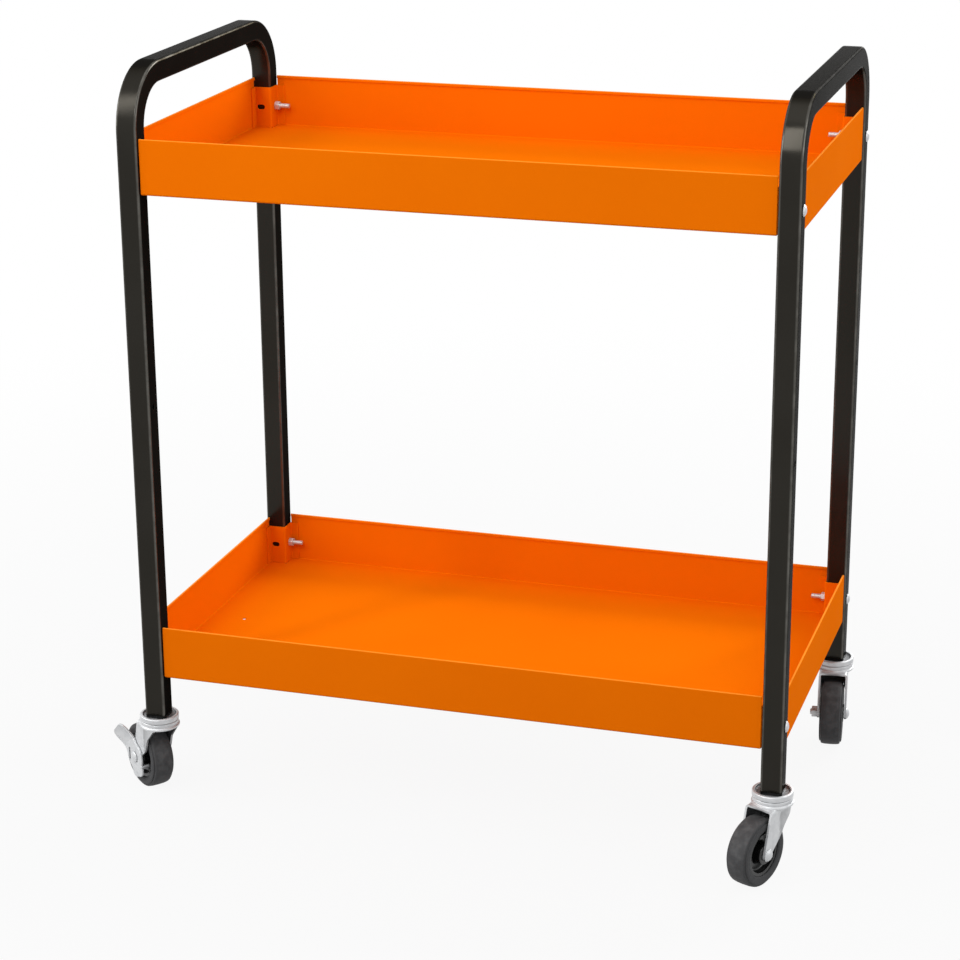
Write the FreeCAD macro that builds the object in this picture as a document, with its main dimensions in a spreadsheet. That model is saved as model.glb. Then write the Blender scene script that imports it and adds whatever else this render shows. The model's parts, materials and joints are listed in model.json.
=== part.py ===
import FreeCAD, Part
import os
import re

import Sketcher

# Two-tray workshop cart on four swivel casters, in millimetres and degrees.
# X runs along the cart, the front is at -Y and Z goes up from the floor.

SIZES = {
    # End frames of bent square tube.
    "cart_length": 775,
    "cart_depth": 430,
    "cart_height": 885,
    "tube_size": 25,
    "tube_wall": 1.5,
    "tube_corner": 3,
    "handle_bend": 60,
    "middle_hole_rise": 336,
    # Sheet-metal trays, the same piece twice.
    "lower_level": 156,
    "handle_drop": 142,
    "tray_height": 64,
    "sheet_gauge": 1.2,
    "sheet_bend": 2.5,
    "hem_width": 4,
    "hem_drop": 6,
    "side_inset": 3,
    "end_inset": 2.5,
    "wall_gap": 1.5,
    "notch_gap": 0.5,
    "drain_diameter": 5,
    "drain_from_end": 47.5,
    "drain_to_front": 12,
    # Corner brackets that hold the trays on the posts.
    "bracket_gauge": 1.5,
    "bracket_flange": 10,
    "bracket_below_rim": 12,
    "slot_length": 10,
    "slot_width": 6,
    # Tray bolts and nuts.
    "bolt_height": 27,
    "bolt_diameter": 6,
    "bolt_length": 45,
    "bolt_head_diameter": 13,
    "bolt_head_height": 3.5,
    "bolt_head_round": 2.8,
    "hole_clearance": 0.25,
    "thread_clearance": 0.05,
    "nut_flats": 10,
    "nut_height": 6,
    # Plastic inserts in the lower ends of the posts.
    "insert_flange": 3.5,
    "insert_depth": 28,
    "insert_clearance": 0.1,
    # Casters: swivel head.
    "swivel_diameter": 47,
    "cup_gauge": 2,
    "cup_drop": 4,
    "cup_rim": 2.5,
    "cup_bevel": 1.5,
    "dish_diameter": 38,
    "ring_height": 7.5,
    "ring_step": 0.5,
    "race_gap": 0.5,
    "ball_diameter": 6,
    "ball_circle": 34,
    "ball_clearance": 0.3,
    "groove_clearance": 0.1,
    "stem_diameter": 10,
    "stem_reach": 26,
    "stem_clearance": 0.3,
    "rivet_diameter": 18,
    "rivet_height": 3.5,
    # Casters: fork, wheel and axle.
    "trail": 31,
    "crown_gap": 8,
    "fork_gauge": 2.5,
    "fork_round": 4,
    "fork_lead": 16.5,
    "fork_back": 26,
    "shoulder_lead": 13,
    "shoulder_drop": 14,
    "apron_drop": 20,
    "arch_back": 2,
    "arch_drop": 20,
    "knee_back": 7.5,
    "knee_drop": 36.5,
    "fork_tip": 7.5,
    "wheel_diameter": 80,
    "tyre_width": 28,
    "tyre_round": 6,
    "tyre_bore": 54,
    "rim_width": 23,
    "rim_gauge": 4,
    "web_gauge": 7,
    "hub_diameter": 24,
    "hub_width": 30,
    "hub_gap": 0.5,
    "sleeve_diameter": 12,
    "running_clearance": 0.1,
    "axle_diameter": 8,
    "axle_clearance": 0.1,
    "axle_head_diameter": 14,
    "axle_head_height": 4,
    "axle_head_round": 2.5,
    "axle_nut_flats": 13,
    "axle_nut_height": 7,
    "axle_thread_end": 2,
    # Brake lever on the two left casters.
    "lever_gauge": 2.5,
    "lever_gap": 0.5,
    "lever_hub": 18,
    "pedal_angle": 133,
    "pedal_reach": 43,
    "pedal_width": 30,
    "pedal_bend": 22,
    "pedal_lean": 10,
    "toe_angle": -70,
    "toe_reach": 25,
    "toe_width": 26,
    "lobe_round": 8,
    "lever_slot_offset": 13,
    "lever_slot_length": 16,
    "lever_slot_width": 3.5,
    "lock_angle": -30,
    "lock_radius": 17,
    "lock_width": 6,
    "lock_reach": 8,
    # Swivel headings: 0 trails to the front, positive turns towards the right end.
    "front_left_heading": 231,
    "front_right_heading": -24,
    "back_left_heading": 160,
    "back_right_heading": 7,
    # Move in plan that brings the middle of the whole cart onto the origin.
    "plan_shift_x": 0,
    "plan_shift_y": 0,
}

FORMULAS = {
    "post_x": "cart_length / 2 - tube_size / 2",
    "post_y": "cart_depth / 2 - tube_size / 2",
    "inner_x": "cart_length / 2 - tube_size",
    "inner_y": "cart_depth / 2 - tube_size",
    "wall_x": "cart_length / 2 - end_inset",
    "wall_y": "cart_depth / 2 - side_inset",
    "notch_x": "inner_x - notch_gap",
    "notch_y": "inner_y - notch_gap",
    "handle_axis": "cart_height - tube_size / 2",
    "upper_level": "cart_height - handle_drop",
    "middle_hole_level": "lower_level + middle_hole_rise",
    "bore_size": "tube_size - 2 * tube_wall",
    "bore_corner": "tube_corner - tube_wall",
    "bolt_radius": "bolt_diameter / 2",
    "bolt_hole": "bolt_radius + hole_clearance",
    "stem_radius": "stem_diameter / 2",
    "swivel_radius": "swivel_diameter / 2",
    "ball_radius": "ball_diameter / 2",
    "axle_radius": "axle_diameter / 2",
    "axle_level": "wheel_diameter / 2",
    "crown_low": "wheel_diameter + crown_gap",
    "crown_top": "crown_low + fork_gauge",
    "ring_top": "crown_top + ring_height",
    "cup_low": "ring_top + race_gap",
    "cup_floor": "cup_low + cup_drop",
    "ball_level": "cup_floor - cup_gauge - ball_clearance - ball_radius",
    "post_low": "cup_floor + insert_flange",
    "fork_inside": "hub_width + 2 * hub_gap",
    "fork_outside": "fork_inside + 2 * fork_gauge",
}

CORNERS = {
    "front_left": (-1, -1),
    "front_right": (1, -1),
    "back_left": (-1, 1),
    "back_right": (1, 1),
}
BRAKED = ("front_left", "back_left")
AXIS_POINT = FreeCAD.Vector(0, 0, 0)
AXIS_X = FreeCAD.Vector(1, 0, 0)
BALL_COUNT = 14

doc = FreeCAD.newDocument("tray_cart")
sheet = doc.addObject("Spreadsheet::Sheet", "sizes")
for row, (alias, number) in enumerate(SIZES.items(), start=1):
    sheet.set(f"A{row}", str(number))
    sheet.setAlias(f"A{row}", alias)
doc.recompute()

nodes = []


def linked(formula):
    """Writes a formula's words as references to the spreadsheet's cells."""
    def swap(match):
        word = match.group(0)
        if word in FORMULAS:
            return f"({linked(FORMULAS[word])})"
        return f"sizes.{word}" if word in SIZES else word
    return re.sub(r"[a-z][a-z_]*", swap, formula)


def value(formula):
    return float(sheet.evalExpression(linked(formula)))


def bind(item, name, formula):
    item.setExpression(name, linked(formula))


def keep(item, label):
    """Marks an object as one of the sub-parts that are written out."""
    item.Label = label
    nodes.append(item)
    return item


def put(item, x="0", y="0", z="0", turn=0):
    """Places a sub-part in the cart: turned about Z, then moved with the whole cart."""
    item.Placement.Rotation = FreeCAD.Rotation(turn, 0, 0)
    bind(item, "Placement.Base.x", f"{x} + plan_shift_x")
    bind(item, "Placement.Base.y", f"{y} + plan_shift_y")
    bind(item, "Placement.Base.z", z)


def new_body(name):
    return doc.addObject("PartDesign::Body", name)


def origin_item(body, role):
    return next(item for item in body.Origin.OriginFeatures if item.Role == role)


def new_sketch(body, name, plane, offset="0"):
    drawing = body.newObject("Sketcher::SketchObject", name)
    drawing.AttachmentSupport = [(origin_item(body, plane), "")]
    drawing.MapMode = "FlatFace"
    bind(drawing, "AttachmentOffset.Base.z", offset)
    return drawing


def fix_point(drawing, edge, point, x, y):
    """Ties a point of a sketch to distances from its origin."""
    for kind, formula in (("DistanceX", x), ("DistanceY", y)):
        rule = Sketcher.Constraint(kind, -1, 1, edge, point, value(formula))
        bind(drawing, f"Constraints[{drawing.addConstraint(rule)}]", formula)


def draw_polygon(drawing, corners):
    first = drawing.GeometryCount
    count = len(corners)
    points = [FreeCAD.Vector(value(x), value(y), 0) for x, y in corners]
    for i in range(count):
        drawing.addGeometry(Part.LineSegment(points[i], points[(i + 1) % count]))
    for i, (x, y) in enumerate(corners):
        drawing.addConstraint(
            Sketcher.Constraint("Coincident", first + i, 2, first + (i + 1) % count, 1))
        fix_point(drawing, first + i, 1, x, y)


def draw_circle(drawing, x, y, radius):
    centre = FreeCAD.Vector(value(x), value(y), 0)
    shape = Part.Circle(centre, FreeCAD.Vector(0, 0, 1), value(radius))
    edge = drawing.addGeometry(shape)
    rule = Sketcher.Constraint("Radius", edge, value(radius))
    bind(drawing, f"Constraints[{drawing.addConstraint(rule)}]", radius)
    fix_point(drawing, edge, 3, x, y)


def draw_path(drawing, stretches):
    """Draws the straight stretches of an outline or path, for arcs to join."""
    for start, end in stretches:
        ends = [FreeCAD.Vector(value(x), value(y), 0) for x, y in (start, end)]
        edge = drawing.addGeometry(Part.LineSegment(*ends))
        fix_point(drawing, edge, 1, *start)
        fix_point(drawing, edge, 2, *end)


def draw_arc(drawing, centre, radius, angles, ends):
    """Draws an arc between two line ends, each given as (edge, point)."""
    middle = FreeCAD.Vector(value(centre[0]), value(centre[1]), 0)
    circle = Part.Circle(middle, FreeCAD.Vector(0, 0, 1), value(radius))
    turn = [FreeCAD.Units.Quantity(f"{angle} deg").getValueAs("rad").Value for angle in angles]
    edge = drawing.addGeometry(Part.ArcOfCircle(circle, *turn))
    for point, (other, other_point) in enumerate(ends, start=1):
        drawing.addConstraint(
            Sketcher.Constraint("Coincident", edge, point, other, other_point))
    rule = Sketcher.Constraint("DistanceX", -1, 1, edge, 3, value(centre[0]))
    bind(drawing, f"Constraints[{drawing.addConstraint(rule)}]", centre[0])


def draw_rounded_square(drawing, size, corner):
    """Draws a square with round corners about the sketch's origin."""
    half = f"({size}) / 2"
    short = f"({half} - ({corner}))"
    draw_path(drawing, [
        ((f"-{short}", f"-{half}"), (short, f"-{half}")),
        ((half, f"-{short}"), (half, short)),
        ((short, half), (f"-{short}", half)),
        ((f"-{half}", short), (f"-{half}", f"-{short}")),
    ])
    draw_arc(drawing, (short, f"-{short}"), corner, (270, 360), ((0, 2), (1, 1)))
    draw_arc(drawing, (short, short), corner, (0, 90), ((1, 2), (2, 1)))
    draw_arc(drawing, (f"-{short}", short), corner, (90, 180), ((2, 2), (3, 1)))
    draw_arc(drawing, (f"-{short}", f"-{short}"), corner, (180, 270), ((3, 2), (0, 1)))


def pad(body, drawing, length, both_ways=False):
    feature = body.newObject("PartDesign::Pad", drawing.Name + "_pad")
    feature.Profile = drawing
    bind(feature, "Length", length)
    if both_ways:
        feature.SideType = "Symmetric"
    return feature


def pocket(body, drawing, length, both_ways=False, reverse=False):
    feature = body.newObject("PartDesign::Pocket", drawing.Name + "_pocket")
    feature.Profile = drawing
    bind(feature, "Length", length)
    if both_ways:
        feature.SideType = "Symmetric"
    feature.Reversed = reverse
    return feature


def revolve(body, drawing, axis):
    feature = body.newObject("PartDesign::Revolution", drawing.Name + "_turned")
    feature.Profile = drawing
    feature.ReferenceAxis = (origin_item(body, axis), [""])
    feature.Angle = 360
    return feature


def round_edges(body, radius, wanted):
    """Rounds the edges of the body so far that the function wanted picks."""
    doc.recompute()
    base = body.Tip
    names = [f"Edge{i}" for i, edge in enumerate(base.Shape.Edges, start=1) if wanted(edge)]
    feature = body.newObject("PartDesign::Fillet", base.Name + "_rounded")
    feature.Base = (base, names)
    bind(feature, "Radius", radius)
    return feature


def near(a, b):
    return abs(a - b) < 0.01


def ends_at(edge, axis, place):
    """True for a straight edge that lies at one place on an axis."""
    return all(near(getattr(vertex.Point, axis), place) for vertex in edge.Vertexes)


def runs_along(edge, axis):
    direction = edge.Vertexes[-1].Point - edge.Vertexes[0].Point
    return near(abs(getattr(direction, axis)), direction.Length) and direction.Length > 1


def circle_at(edge, axis, place, radius):
    curve = edge.Curve
    return (isinstance(curve, Part.Circle) and near(curve.Radius, radius)
            and near(getattr(curve.Center, axis), place))


def group(label, sources, x="0", y="0", z="0"):
    cluster = doc.addObject("Part::Compound", label)
    cluster.Links = sources
    put(cluster, x, y, z)
    return keep(cluster, label)


def mirrored(source, name, normal):
    copy = doc.addObject("Part::Mirroring", name)
    copy.Source = source
    copy.Normal = FreeCAD.Vector(*normal)
    return copy


def four_corners(source):
    """Returns a piece at the front left corner with its mirror images at the others."""
    right = mirrored(source, source.Name + "_right", (1, 0, 0))
    back = mirrored(source, source.Name + "_back", (0, 1, 0))
    far = mirrored(right, source.Name + "_far", (0, 1, 0))
    return [source, right, back, far]


def build_end_frame(side, sign):
    """One U of square tube: two posts and the handle between them."""
    name = f"{side}_end_frame"
    body = new_body(name)
    path = new_sketch(body, name + "_path", "YZ_Plane")
    bend_level = "handle_axis - handle_bend"
    run_end = "post_y - handle_bend"
    draw_path(path, [
        (("-post_y", "post_low"), ("-post_y", bend_level)),
        ((f"-({run_end})", "handle_axis"), (run_end, "handle_axis")),
        (("post_y", bend_level), ("post_y", "post_low")),
    ])
    draw_arc(path, (f"-({run_end})", bend_level), "handle_bend", (90, 180), ((1, 1), (0, 2)))
    draw_arc(path, (run_end, bend_level), "handle_bend", (0, 90), ((2, 1), (1, 2)))
    for kind, size, corner in (("Additive", "tube_size", "tube_corner"),
                               ("Subtractive", "bore_size", "bore_corner")):
        section = new_sketch(body, f"{name}_{kind.lower()}_section", "XY_Plane", "post_low")
        bind(section, "AttachmentOffset.Base.y", "-post_y")
        draw_rounded_square(section, size, corner)
        sweep = body.newObject(f"PartDesign::{kind}Pipe", f"{name}_{kind.lower()}")
        sweep.Profile = section
        sweep.Spine = (path, [""])
    holes = new_sketch(body, name + "_holes", "YZ_Plane")
    for post in ("-post_y", "post_y"):
        for level in ("lower_level + bolt_height", "upper_level + bolt_height",
                      "middle_hole_level"):
            draw_circle(holes, post, level, "bolt_hole")
    pocket(body, holes, "2 * tube_size", both_ways=True)
    put(body, f"{sign} * post_x")
    keep(body, name)


def build_tray(label, level):
    """A folded tray with square corner notches and a hemmed rim on each wall."""
    body = new_body(label)
    floor = new_sketch(body, label + "_floor", "XY_Plane")
    quarter = [("wall_x", "notch_y"), ("notch_x", "notch_y"), ("notch_x", "wall_y")]
    outline = quarter
    outline = outline + [(f"-({x})", y) for x, y in reversed(quarter)]
    outline = outline + [(x, f"-({y})") for x, y in reversed(outline)]
    draw_polygon(floor, outline)
    pad(body, floor, "sheet_gauge")
    for plane, face, length in (("YZ_Plane", "wall_y", "2 * (inner_x - wall_gap)"),
                                ("XZ_Plane", "wall_x", "2 * (inner_y - wall_gap)")):
        for sign in (-1, 1):
            section = new_sketch(body, f"{label}_wall", plane)
            hem_top = "tray_height - sheet_gauge"
            draw_polygon(section, [(f"{sign} * ({inset})", height) for inset, height in (
                (face, "0"),
                (face, "tray_height"),
                (f"{face} - hem_width", "tray_height"),
                (f"{face} - hem_width", "tray_height - hem_drop"),
                (f"{face} - hem_width + sheet_gauge", "tray_height - hem_drop"),
                (f"{face} - hem_width + sheet_gauge", hem_top),
                (f"{face} - sheet_gauge", hem_top),
                (f"{face} - sheet_gauge", "0"),
            )])
            pad(body, section, length, both_ways=True)
    faces = (("x", "y", value("wall_y")), ("y", "x", value("wall_x")))
    hem = value("hem_width")
    top = value("tray_height")

    def is_bend(edge):
        return any(runs_along(edge, along) and ends_at(edge, "z", 0)
                   and near(abs(getattr(edge.Vertexes[0].Point, across)), place)
                   for along, across, place in faces)

    def is_rim(edge):
        return any(runs_along(edge, along) and ends_at(edge, "z", top)
                   and any(near(abs(getattr(edge.Vertexes[0].Point, across)), spot)
                           for spot in (place, place - hem))
                   for along, across, place in faces)

    round_edges(body, "sheet_bend", is_bend)
    round_edges(body, "sheet_gauge", is_rim)
    drain = new_sketch(body, label + "_drain", "XY_Plane")
    draw_circle(drain, "drain_from_end - cart_length / 2", "-drain_to_front", "drain_diameter / 2")
    pocket(body, drain, "4 * sheet_gauge", both_ways=True)
    put(body, z=level)
    keep(body, label)


def build_corner_bracket():
    """A stepped bracket round the inner faces of the front left post."""
    body = new_body("corner_bracket")
    plan = new_sketch(body, "bracket_plan", "XY_Plane", "sheet_gauge")
    wall_face_x = "-wall_x + sheet_gauge"
    wall_face_y = "-wall_y + sheet_gauge"
    side = "-inner_y + notch_gap"
    flange_end = "-inner_x + bracket_gauge + bracket_flange"
    draw_polygon(plan, [
        ("-inner_x", wall_face_y),
        (flange_end, wall_face_y),
        (flange_end, f"{wall_face_y} + bracket_gauge"),
        ("-inner_x + bracket_gauge", f"{wall_face_y} + bracket_gauge"),
        ("-inner_x + bracket_gauge", f"{side} + bracket_gauge"),
        (f"{wall_face_x} + bracket_gauge", f"{side} + bracket_gauge"),
        (f"{wall_face_x} + bracket_gauge", f"{side} + bracket_gauge + bracket_flange"),
        (wall_face_x, f"{side} + bracket_gauge + bracket_flange"),
        (wall_face_x, side),
        ("-inner_x", side),
    ])
    pad(body, plan, "tray_height - bracket_below_rim - sheet_gauge")
    hole = new_sketch(body, "bracket_hole", "YZ_Plane")
    draw_circle(hole, "-post_y", "bolt_height", "bolt_hole")
    pocket(body, hole, "2 * cart_length", both_ways=True)
    slot = new_sketch(body, "bracket_slot", "XZ_Plane")
    radius = "slot_width / 2"
    left = "-post_x - slot_length / 2 + slot_width / 2"
    right = "-post_x + slot_length / 2 - slot_width / 2"
    draw_path(slot, [
        ((left, f"bolt_height - {radius}"), (right, f"bolt_height - {radius}")),
        ((right, f"bolt_height + {radius}"), (left, f"bolt_height + {radius}")),
    ])
    draw_arc(slot, (right, "bolt_height"), radius, (270, 450), ((0, 2), (1, 1)))
    draw_arc(slot, (left, "bolt_height"), radius, (90, 270), ((1, 2), (0, 1)))
    pocket(body, slot, "2 * cart_depth", both_ways=True)
    return body


def build_turned(name, profile, axis="X_Axis", plane="XY_Plane"):
    body = new_body(name)
    drawing = new_sketch(body, name + "_profile", plane)
    draw_polygon(drawing, profile)
    revolve(body, drawing, axis)
    return body


def build_tray_bolt():
    """A domed bolt through the front left post, its head on the outer face."""
    body = build_turned("tray_bolt", [
        ("-bolt_head_height", "0"),
        ("-bolt_head_height", "bolt_head_diameter / 2"),
        ("0", "bolt_head_diameter / 2"),
        ("0", "bolt_radius"),
        ("bolt_length", "bolt_radius"),
        ("bolt_length", "0"),
    ])
    head = value("bolt_head_height")
    radius = value("bolt_head_diameter / 2")
    round_edges(body, "bolt_head_round", lambda edge: circle_at(edge, "x", -head, radius))
    bind(body, "Placement.Base.x", "-cart_length / 2")
    bind(body, "Placement.Base.y", "-post_y")
    bind(body, "Placement.Base.z", "bolt_height")
    return body


def build_nut(name, flats, height, bore):
    """A hexagon nut along X that starts at its own origin."""
    body = new_body(name)
    hexagon = new_sketch(body, name + "_hexagon", "YZ_Plane")
    draw_polygon(hexagon, [(f"{flats} / sqrt(3) * cos({60 * i})", f"{flats} / sqrt(3) * sin({60 * i})")
                           for i in range(6)])
    pad(body, hexagon, height)
    hole = new_sketch(body, name + "_hole", "YZ_Plane")
    draw_circle(hole, "0", "0", bore)
    pocket(body, hole, f"4 * {height}", both_ways=True)
    return body


def build_tube_insert():
    """A plastic plug in the lower end of the front left post, with a flange below it."""
    body = new_body("tube_insert")
    flange = new_sketch(body, "insert_flange", "XY_Plane", "cup_floor")
    draw_rounded_square(flange, "tube_size", "tube_corner")
    pad(body, flange, "insert_flange")
    plug = new_sketch(body, "insert_plug", "XY_Plane", "post_low")
    draw_rounded_square(plug, "bore_size - 2 * insert_clearance", "bore_corner")
    pad(body, plug, "insert_depth")
    bore = new_sketch(body, "insert_bore", "XY_Plane")
    draw_circle(bore, "0", "0", "stem_radius + insert_clearance")
    pocket(body, bore, "2 * (post_low + insert_depth) + cart_height", both_ways=True)
    bind(body, "Placement.Base.x", "-post_x")
    bind(body, "Placement.Base.y", "-post_y")
    return body


def build_fork(name, braked):
    """The pressed fork of a caster with its lower ball race; it trails to -Y."""
    body = new_body(name)
    side = new_sketch(body, name + "_side", "YZ_Plane")
    tip_low = "axle_level - fork_tip"
    reach = "(trail + swivel_diameter)"
    if braked:
        # The legs beside a brake lever are arched in front, with nothing between them.
        front = [("-arch_back", "crown_top - arch_drop"), ("-knee_back", "crown_top - knee_drop")]
        inside = [(reach, "crown_low")]
    else:
        # An apron joins the legs of a plain fork in front, down to where the wheel needs room.
        shoulder = "crown_top - shoulder_drop"
        apron = "crown_top - apron_drop"
        slope = f"(shoulder_lead + trail - fork_tip) / ({shoulder} - axle_level)"
        front = [("shoulder_lead", shoulder)]
        inside = [
            (reach, apron),
            (f"shoulder_lead - (apron_drop - shoulder_drop) * {slope} - 1.4 * fork_gauge", apron),
            ("shoulder_lead - 1.2 * fork_gauge", shoulder),
            ("fork_lead - 1.2 * fork_gauge", "crown_low"),
        ]
    draw_polygon(side, [
        ("fork_lead", "crown_top"),
        *front,
        ("fork_tip - trail", "axle_level"),
        ("fork_tip - trail", tip_low),
        ("-fork_tip - trail", tip_low),
        ("-fork_tip - trail", "axle_level"),
        ("-fork_back", "crown_top"),
    ])
    pad(body, side, "fork_outside", both_ways=True)
    channel = new_sketch(body, name + "_channel", "YZ_Plane")
    draw_polygon(channel, [(f"-{reach}", "0"), (reach, "0"), *inside, (f"-{reach}", "crown_low")])
    pocket(body, channel, "fork_inside", both_ways=True)
    tips = [value(f"{sign} * fork_tip - trail") for sign in (-1, 1)]
    low = value(tip_low)
    round_edges(body, "fork_tip * 0.95", lambda edge: (
        runs_along(edge, "x") and ends_at(edge, "z", low)
        and any(ends_at(edge, "y", tip) for tip in tips)))
    half = value("fork_outside / 2")
    top = value("crown_top")
    round_edges(body, "fork_round", lambda edge: (
        runs_along(edge, "y") and ends_at(edge, "z", top)
        and near(abs(edge.Vertexes[0].Point.x), half)))
    ring = new_sketch(body, name + "_ring", "XY_Plane", "crown_top")
    draw_circle(ring, "0", "0", "swivel_radius - ring_step")
    pad(body, ring, "ring_height")
    groove_low = "ball_level - ball_radius - groove_clearance / 2"
    groove = new_sketch(body, name + "_groove", "XY_Plane", groove_low)
    draw_circle(groove, "0", "0", "ball_circle / 2 + ball_radius + groove_clearance")
    draw_circle(groove, "0", "0", "ball_circle / 2 - ball_radius - groove_clearance")
    pocket(body, groove, "ring_height", reverse=True)
    holes = new_sketch(body, name + "_stem_hole", "XY_Plane")
    draw_circle(holes, "0", "0", "stem_radius + stem_clearance")
    pocket(body, holes, "4 * crown_top", both_ways=True)
    axle = new_sketch(body, name + "_axle_hole", "YZ_Plane")
    draw_circle(axle, "-trail", "axle_level", "axle_radius + axle_clearance")
    pocket(body, axle, "2 * fork_outside", both_ways=True)
    return body


def build_stem(name):
    """The riveted stem on which a caster swivels, fixed in the tube insert."""
    head_top = "crown_low - race_gap"
    return build_turned(name, [
        ("0", f"{head_top} - rivet_height"),
        ("rivet_diameter / 2", f"{head_top} - rivet_height"),
        ("rivet_diameter / 2", head_top),
        ("stem_radius", head_top),
        ("stem_radius", "post_low + stem_reach"),
        ("0", "post_low + stem_reach"),
    ], "Z_Axis", "XZ_Plane")


def build_cup(name):
    """The dished cover over the balls, fixed under the post."""
    rim = "cup_floor + cup_rim"
    under = "cup_floor - cup_gauge"
    inside = "swivel_radius - cup_gauge"
    return build_turned(name, [
        ("stem_radius", under),
        (inside, under),
        (inside, "cup_low"),
        ("swivel_radius", "cup_low"),
        ("swivel_radius", f"{rim} - cup_bevel"),
        ("swivel_radius - cup_bevel", rim),
        ("dish_diameter / 2 + cup_bevel", rim),
        ("dish_diameter / 2", "cup_floor"),
        ("stem_radius", "cup_floor"),
    ], "Z_Axis", "XZ_Plane")


def build_balls(label):
    balls = []
    for i in range(BALL_COUNT):
        ball = doc.addObject("Part::Sphere", f"{label}_ball")
        bind(ball, "Radius", "ball_radius")
        bind(ball, "Placement.Base.x", f"ball_circle / 2 * cos({360 * i} / {BALL_COUNT})")
        bind(ball, "Placement.Base.y", f"ball_circle / 2 * sin({360 * i} / {BALL_COUNT})")
        bind(ball, "Placement.Base.z", "ball_level")
        balls.append(ball)
    return balls


def build_tyre(name):
    half = "tyre_width / 2"
    body = build_turned(name, [
        (f"-{half}", "tyre_bore / 2"),
        (half, "tyre_bore / 2"),
        (half, "wheel_diameter / 2"),
        (f"-{half}", "wheel_diameter / 2"),
    ])
    edge_place = value(half)
    radius = value("wheel_diameter / 2")
    round_edges(body, "tyre_round", lambda edge: any(
        circle_at(edge, "x", sign * edge_place, radius) for sign in (-1, 1)))
    return body


def build_wheel_core(name):
    """Hub, web and rim of a wheel in one piece, turned about the axle."""
    right = [
        ("hub_width / 2", "sleeve_diameter / 2 + running_clearance"),
        ("hub_width / 2", "hub_diameter / 2"),
        ("web_gauge / 2", "hub_diameter / 2"),
        ("web_gauge / 2", "tyre_bore / 2 - rim_gauge"),
        ("rim_width / 2", "tyre_bore / 2 - rim_gauge"),
        ("rim_width / 2", "tyre_bore / 2"),
    ]
    left = [(f"-({x})", y) for x, y in reversed(right)]
    return build_turned(name, right + left)


def build_sleeve(name):
    """The spacer between the fork legs on which the wheel turns."""
    inner = "axle_radius + axle_clearance"
    half = "fork_inside / 2"
    return build_turned(name, [
        (f"-{half}", inner),
        (half, inner),
        (half, "sleeve_diameter / 2"),
        (f"-{half}", "sleeve_diameter / 2"),
    ])


def build_axle_bolt(name, lever_room):
    """The axle: a domed head outside the right fork leg and a thread end on the left."""
    seat = f"fork_outside / 2 + {lever_room}"
    end = "-fork_outside / 2 - axle_nut_height - axle_thread_end"
    body = build_turned(name, [
        (end, "0"),
        (end, "axle_radius"),
        (seat, "axle_radius"),
        (seat, "axle_head_diameter / 2"),
        (f"{seat} + axle_head_height", "axle_head_diameter / 2"),
        (f"{seat} + axle_head_height", "0"),
    ])
    place = value(f"{seat} + axle_head_height")
    radius = value("axle_head_diameter / 2")
    round_edges(body, "axle_head_round", lambda edge: circle_at(edge, "x", place, radius))
    return body


def build_brake_lever(name):
    """A rocking lever on the axle outside the fork: a pedal, a toe and a lock tab on one hub."""
    body = new_body(name)
    seat = "(fork_outside / 2 + lever_gap)"
    face = f"({seat} + lever_gauge)"

    def arm_sketch(arm, use):
        drawing = new_sketch(body, f"{name}_{arm}_{use}", "XY_Plane")
        turn = FreeCAD.Rotation(AXIS_X, value(f"{arm}_angle"))
        drawing.AttachmentOffset = FreeCAD.Placement(AXIS_POINT, turn)
        return drawing

    def add_arm(arm, inner, outer, start, reach):
        block = arm_sketch(arm, "block")
        draw_polygon(block, [(inner, start), (outer, start), (outer, reach), (inner, reach)])
        pad(body, block, f"{arm}_width", both_ways=True)

    def round_tip(arm):
        tip = value(f"sqrt({arm}_reach ^ 2 + ({arm}_width / 2) ^ 2)")
        round_edges(body, "lobe_round", lambda edge: (
            runs_along(edge, "x")
            and near(edge.Vertexes[0].Point.distanceToLine(AXIS_POINT, AXIS_X), tip)))

    # The pedal leans outwards past its bend, so it is cut from a thicker block.
    add_arm("pedal", seat, f"{face} + pedal_lean", "0", "pedal_reach")
    round_tip("pedal")
    wedges = arm_sketch("pedal", "wedges")
    beyond = "pedal_reach + pedal_width"
    draw_polygon(wedges, [
        (face, "-pedal_width"), (face, "pedal_bend"), (f"{face} + pedal_lean", "pedal_reach"),
        (f"{face} + pedal_lean", beyond), (f"{face} + 2 * pedal_lean", beyond),
        (f"{face} + 2 * pedal_lean", "-pedal_width"),
    ])
    draw_polygon(wedges, [
        (seat, "pedal_bend"), (f"{seat} + pedal_lean", "pedal_reach"),
        (f"{seat} + pedal_lean", beyond), (f"{seat} - pedal_lean", beyond),
        (f"{seat} - pedal_lean", "pedal_bend"),
    ])
    pocket(body, wedges, "2 * pedal_width", both_ways=True)
    hub = new_sketch(body, name + "_hub", "YZ_Plane", seat)
    draw_circle(hub, "0", "0", "lever_hub")
    pad(body, hub, "lever_gauge")
    add_arm("toe", seat, face, "0", "toe_reach")
    round_tip("toe")
    add_arm("lock", f"{seat} - lock_reach", face, "lock_radius - lock_width / 2",
            "lock_radius + lock_width / 2")
    holes = new_sketch(body, name + "_holes", "YZ_Plane", seat)
    draw_circle(holes, "0", "0", "axle_radius + axle_clearance")
    near_side = "-lever_slot_offset + lever_slot_width / 2"
    far_side = "-lever_slot_offset - lever_slot_width / 2"
    half = "lever_slot_length / 2"
    draw_polygon(holes, [(far_side, f"-{half}"), (near_side, f"-{half}"), (near_side, half),
                         (far_side, half)])
    pocket(body, holes, "4 * lever_gauge", both_ways=True)
    return body


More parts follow.
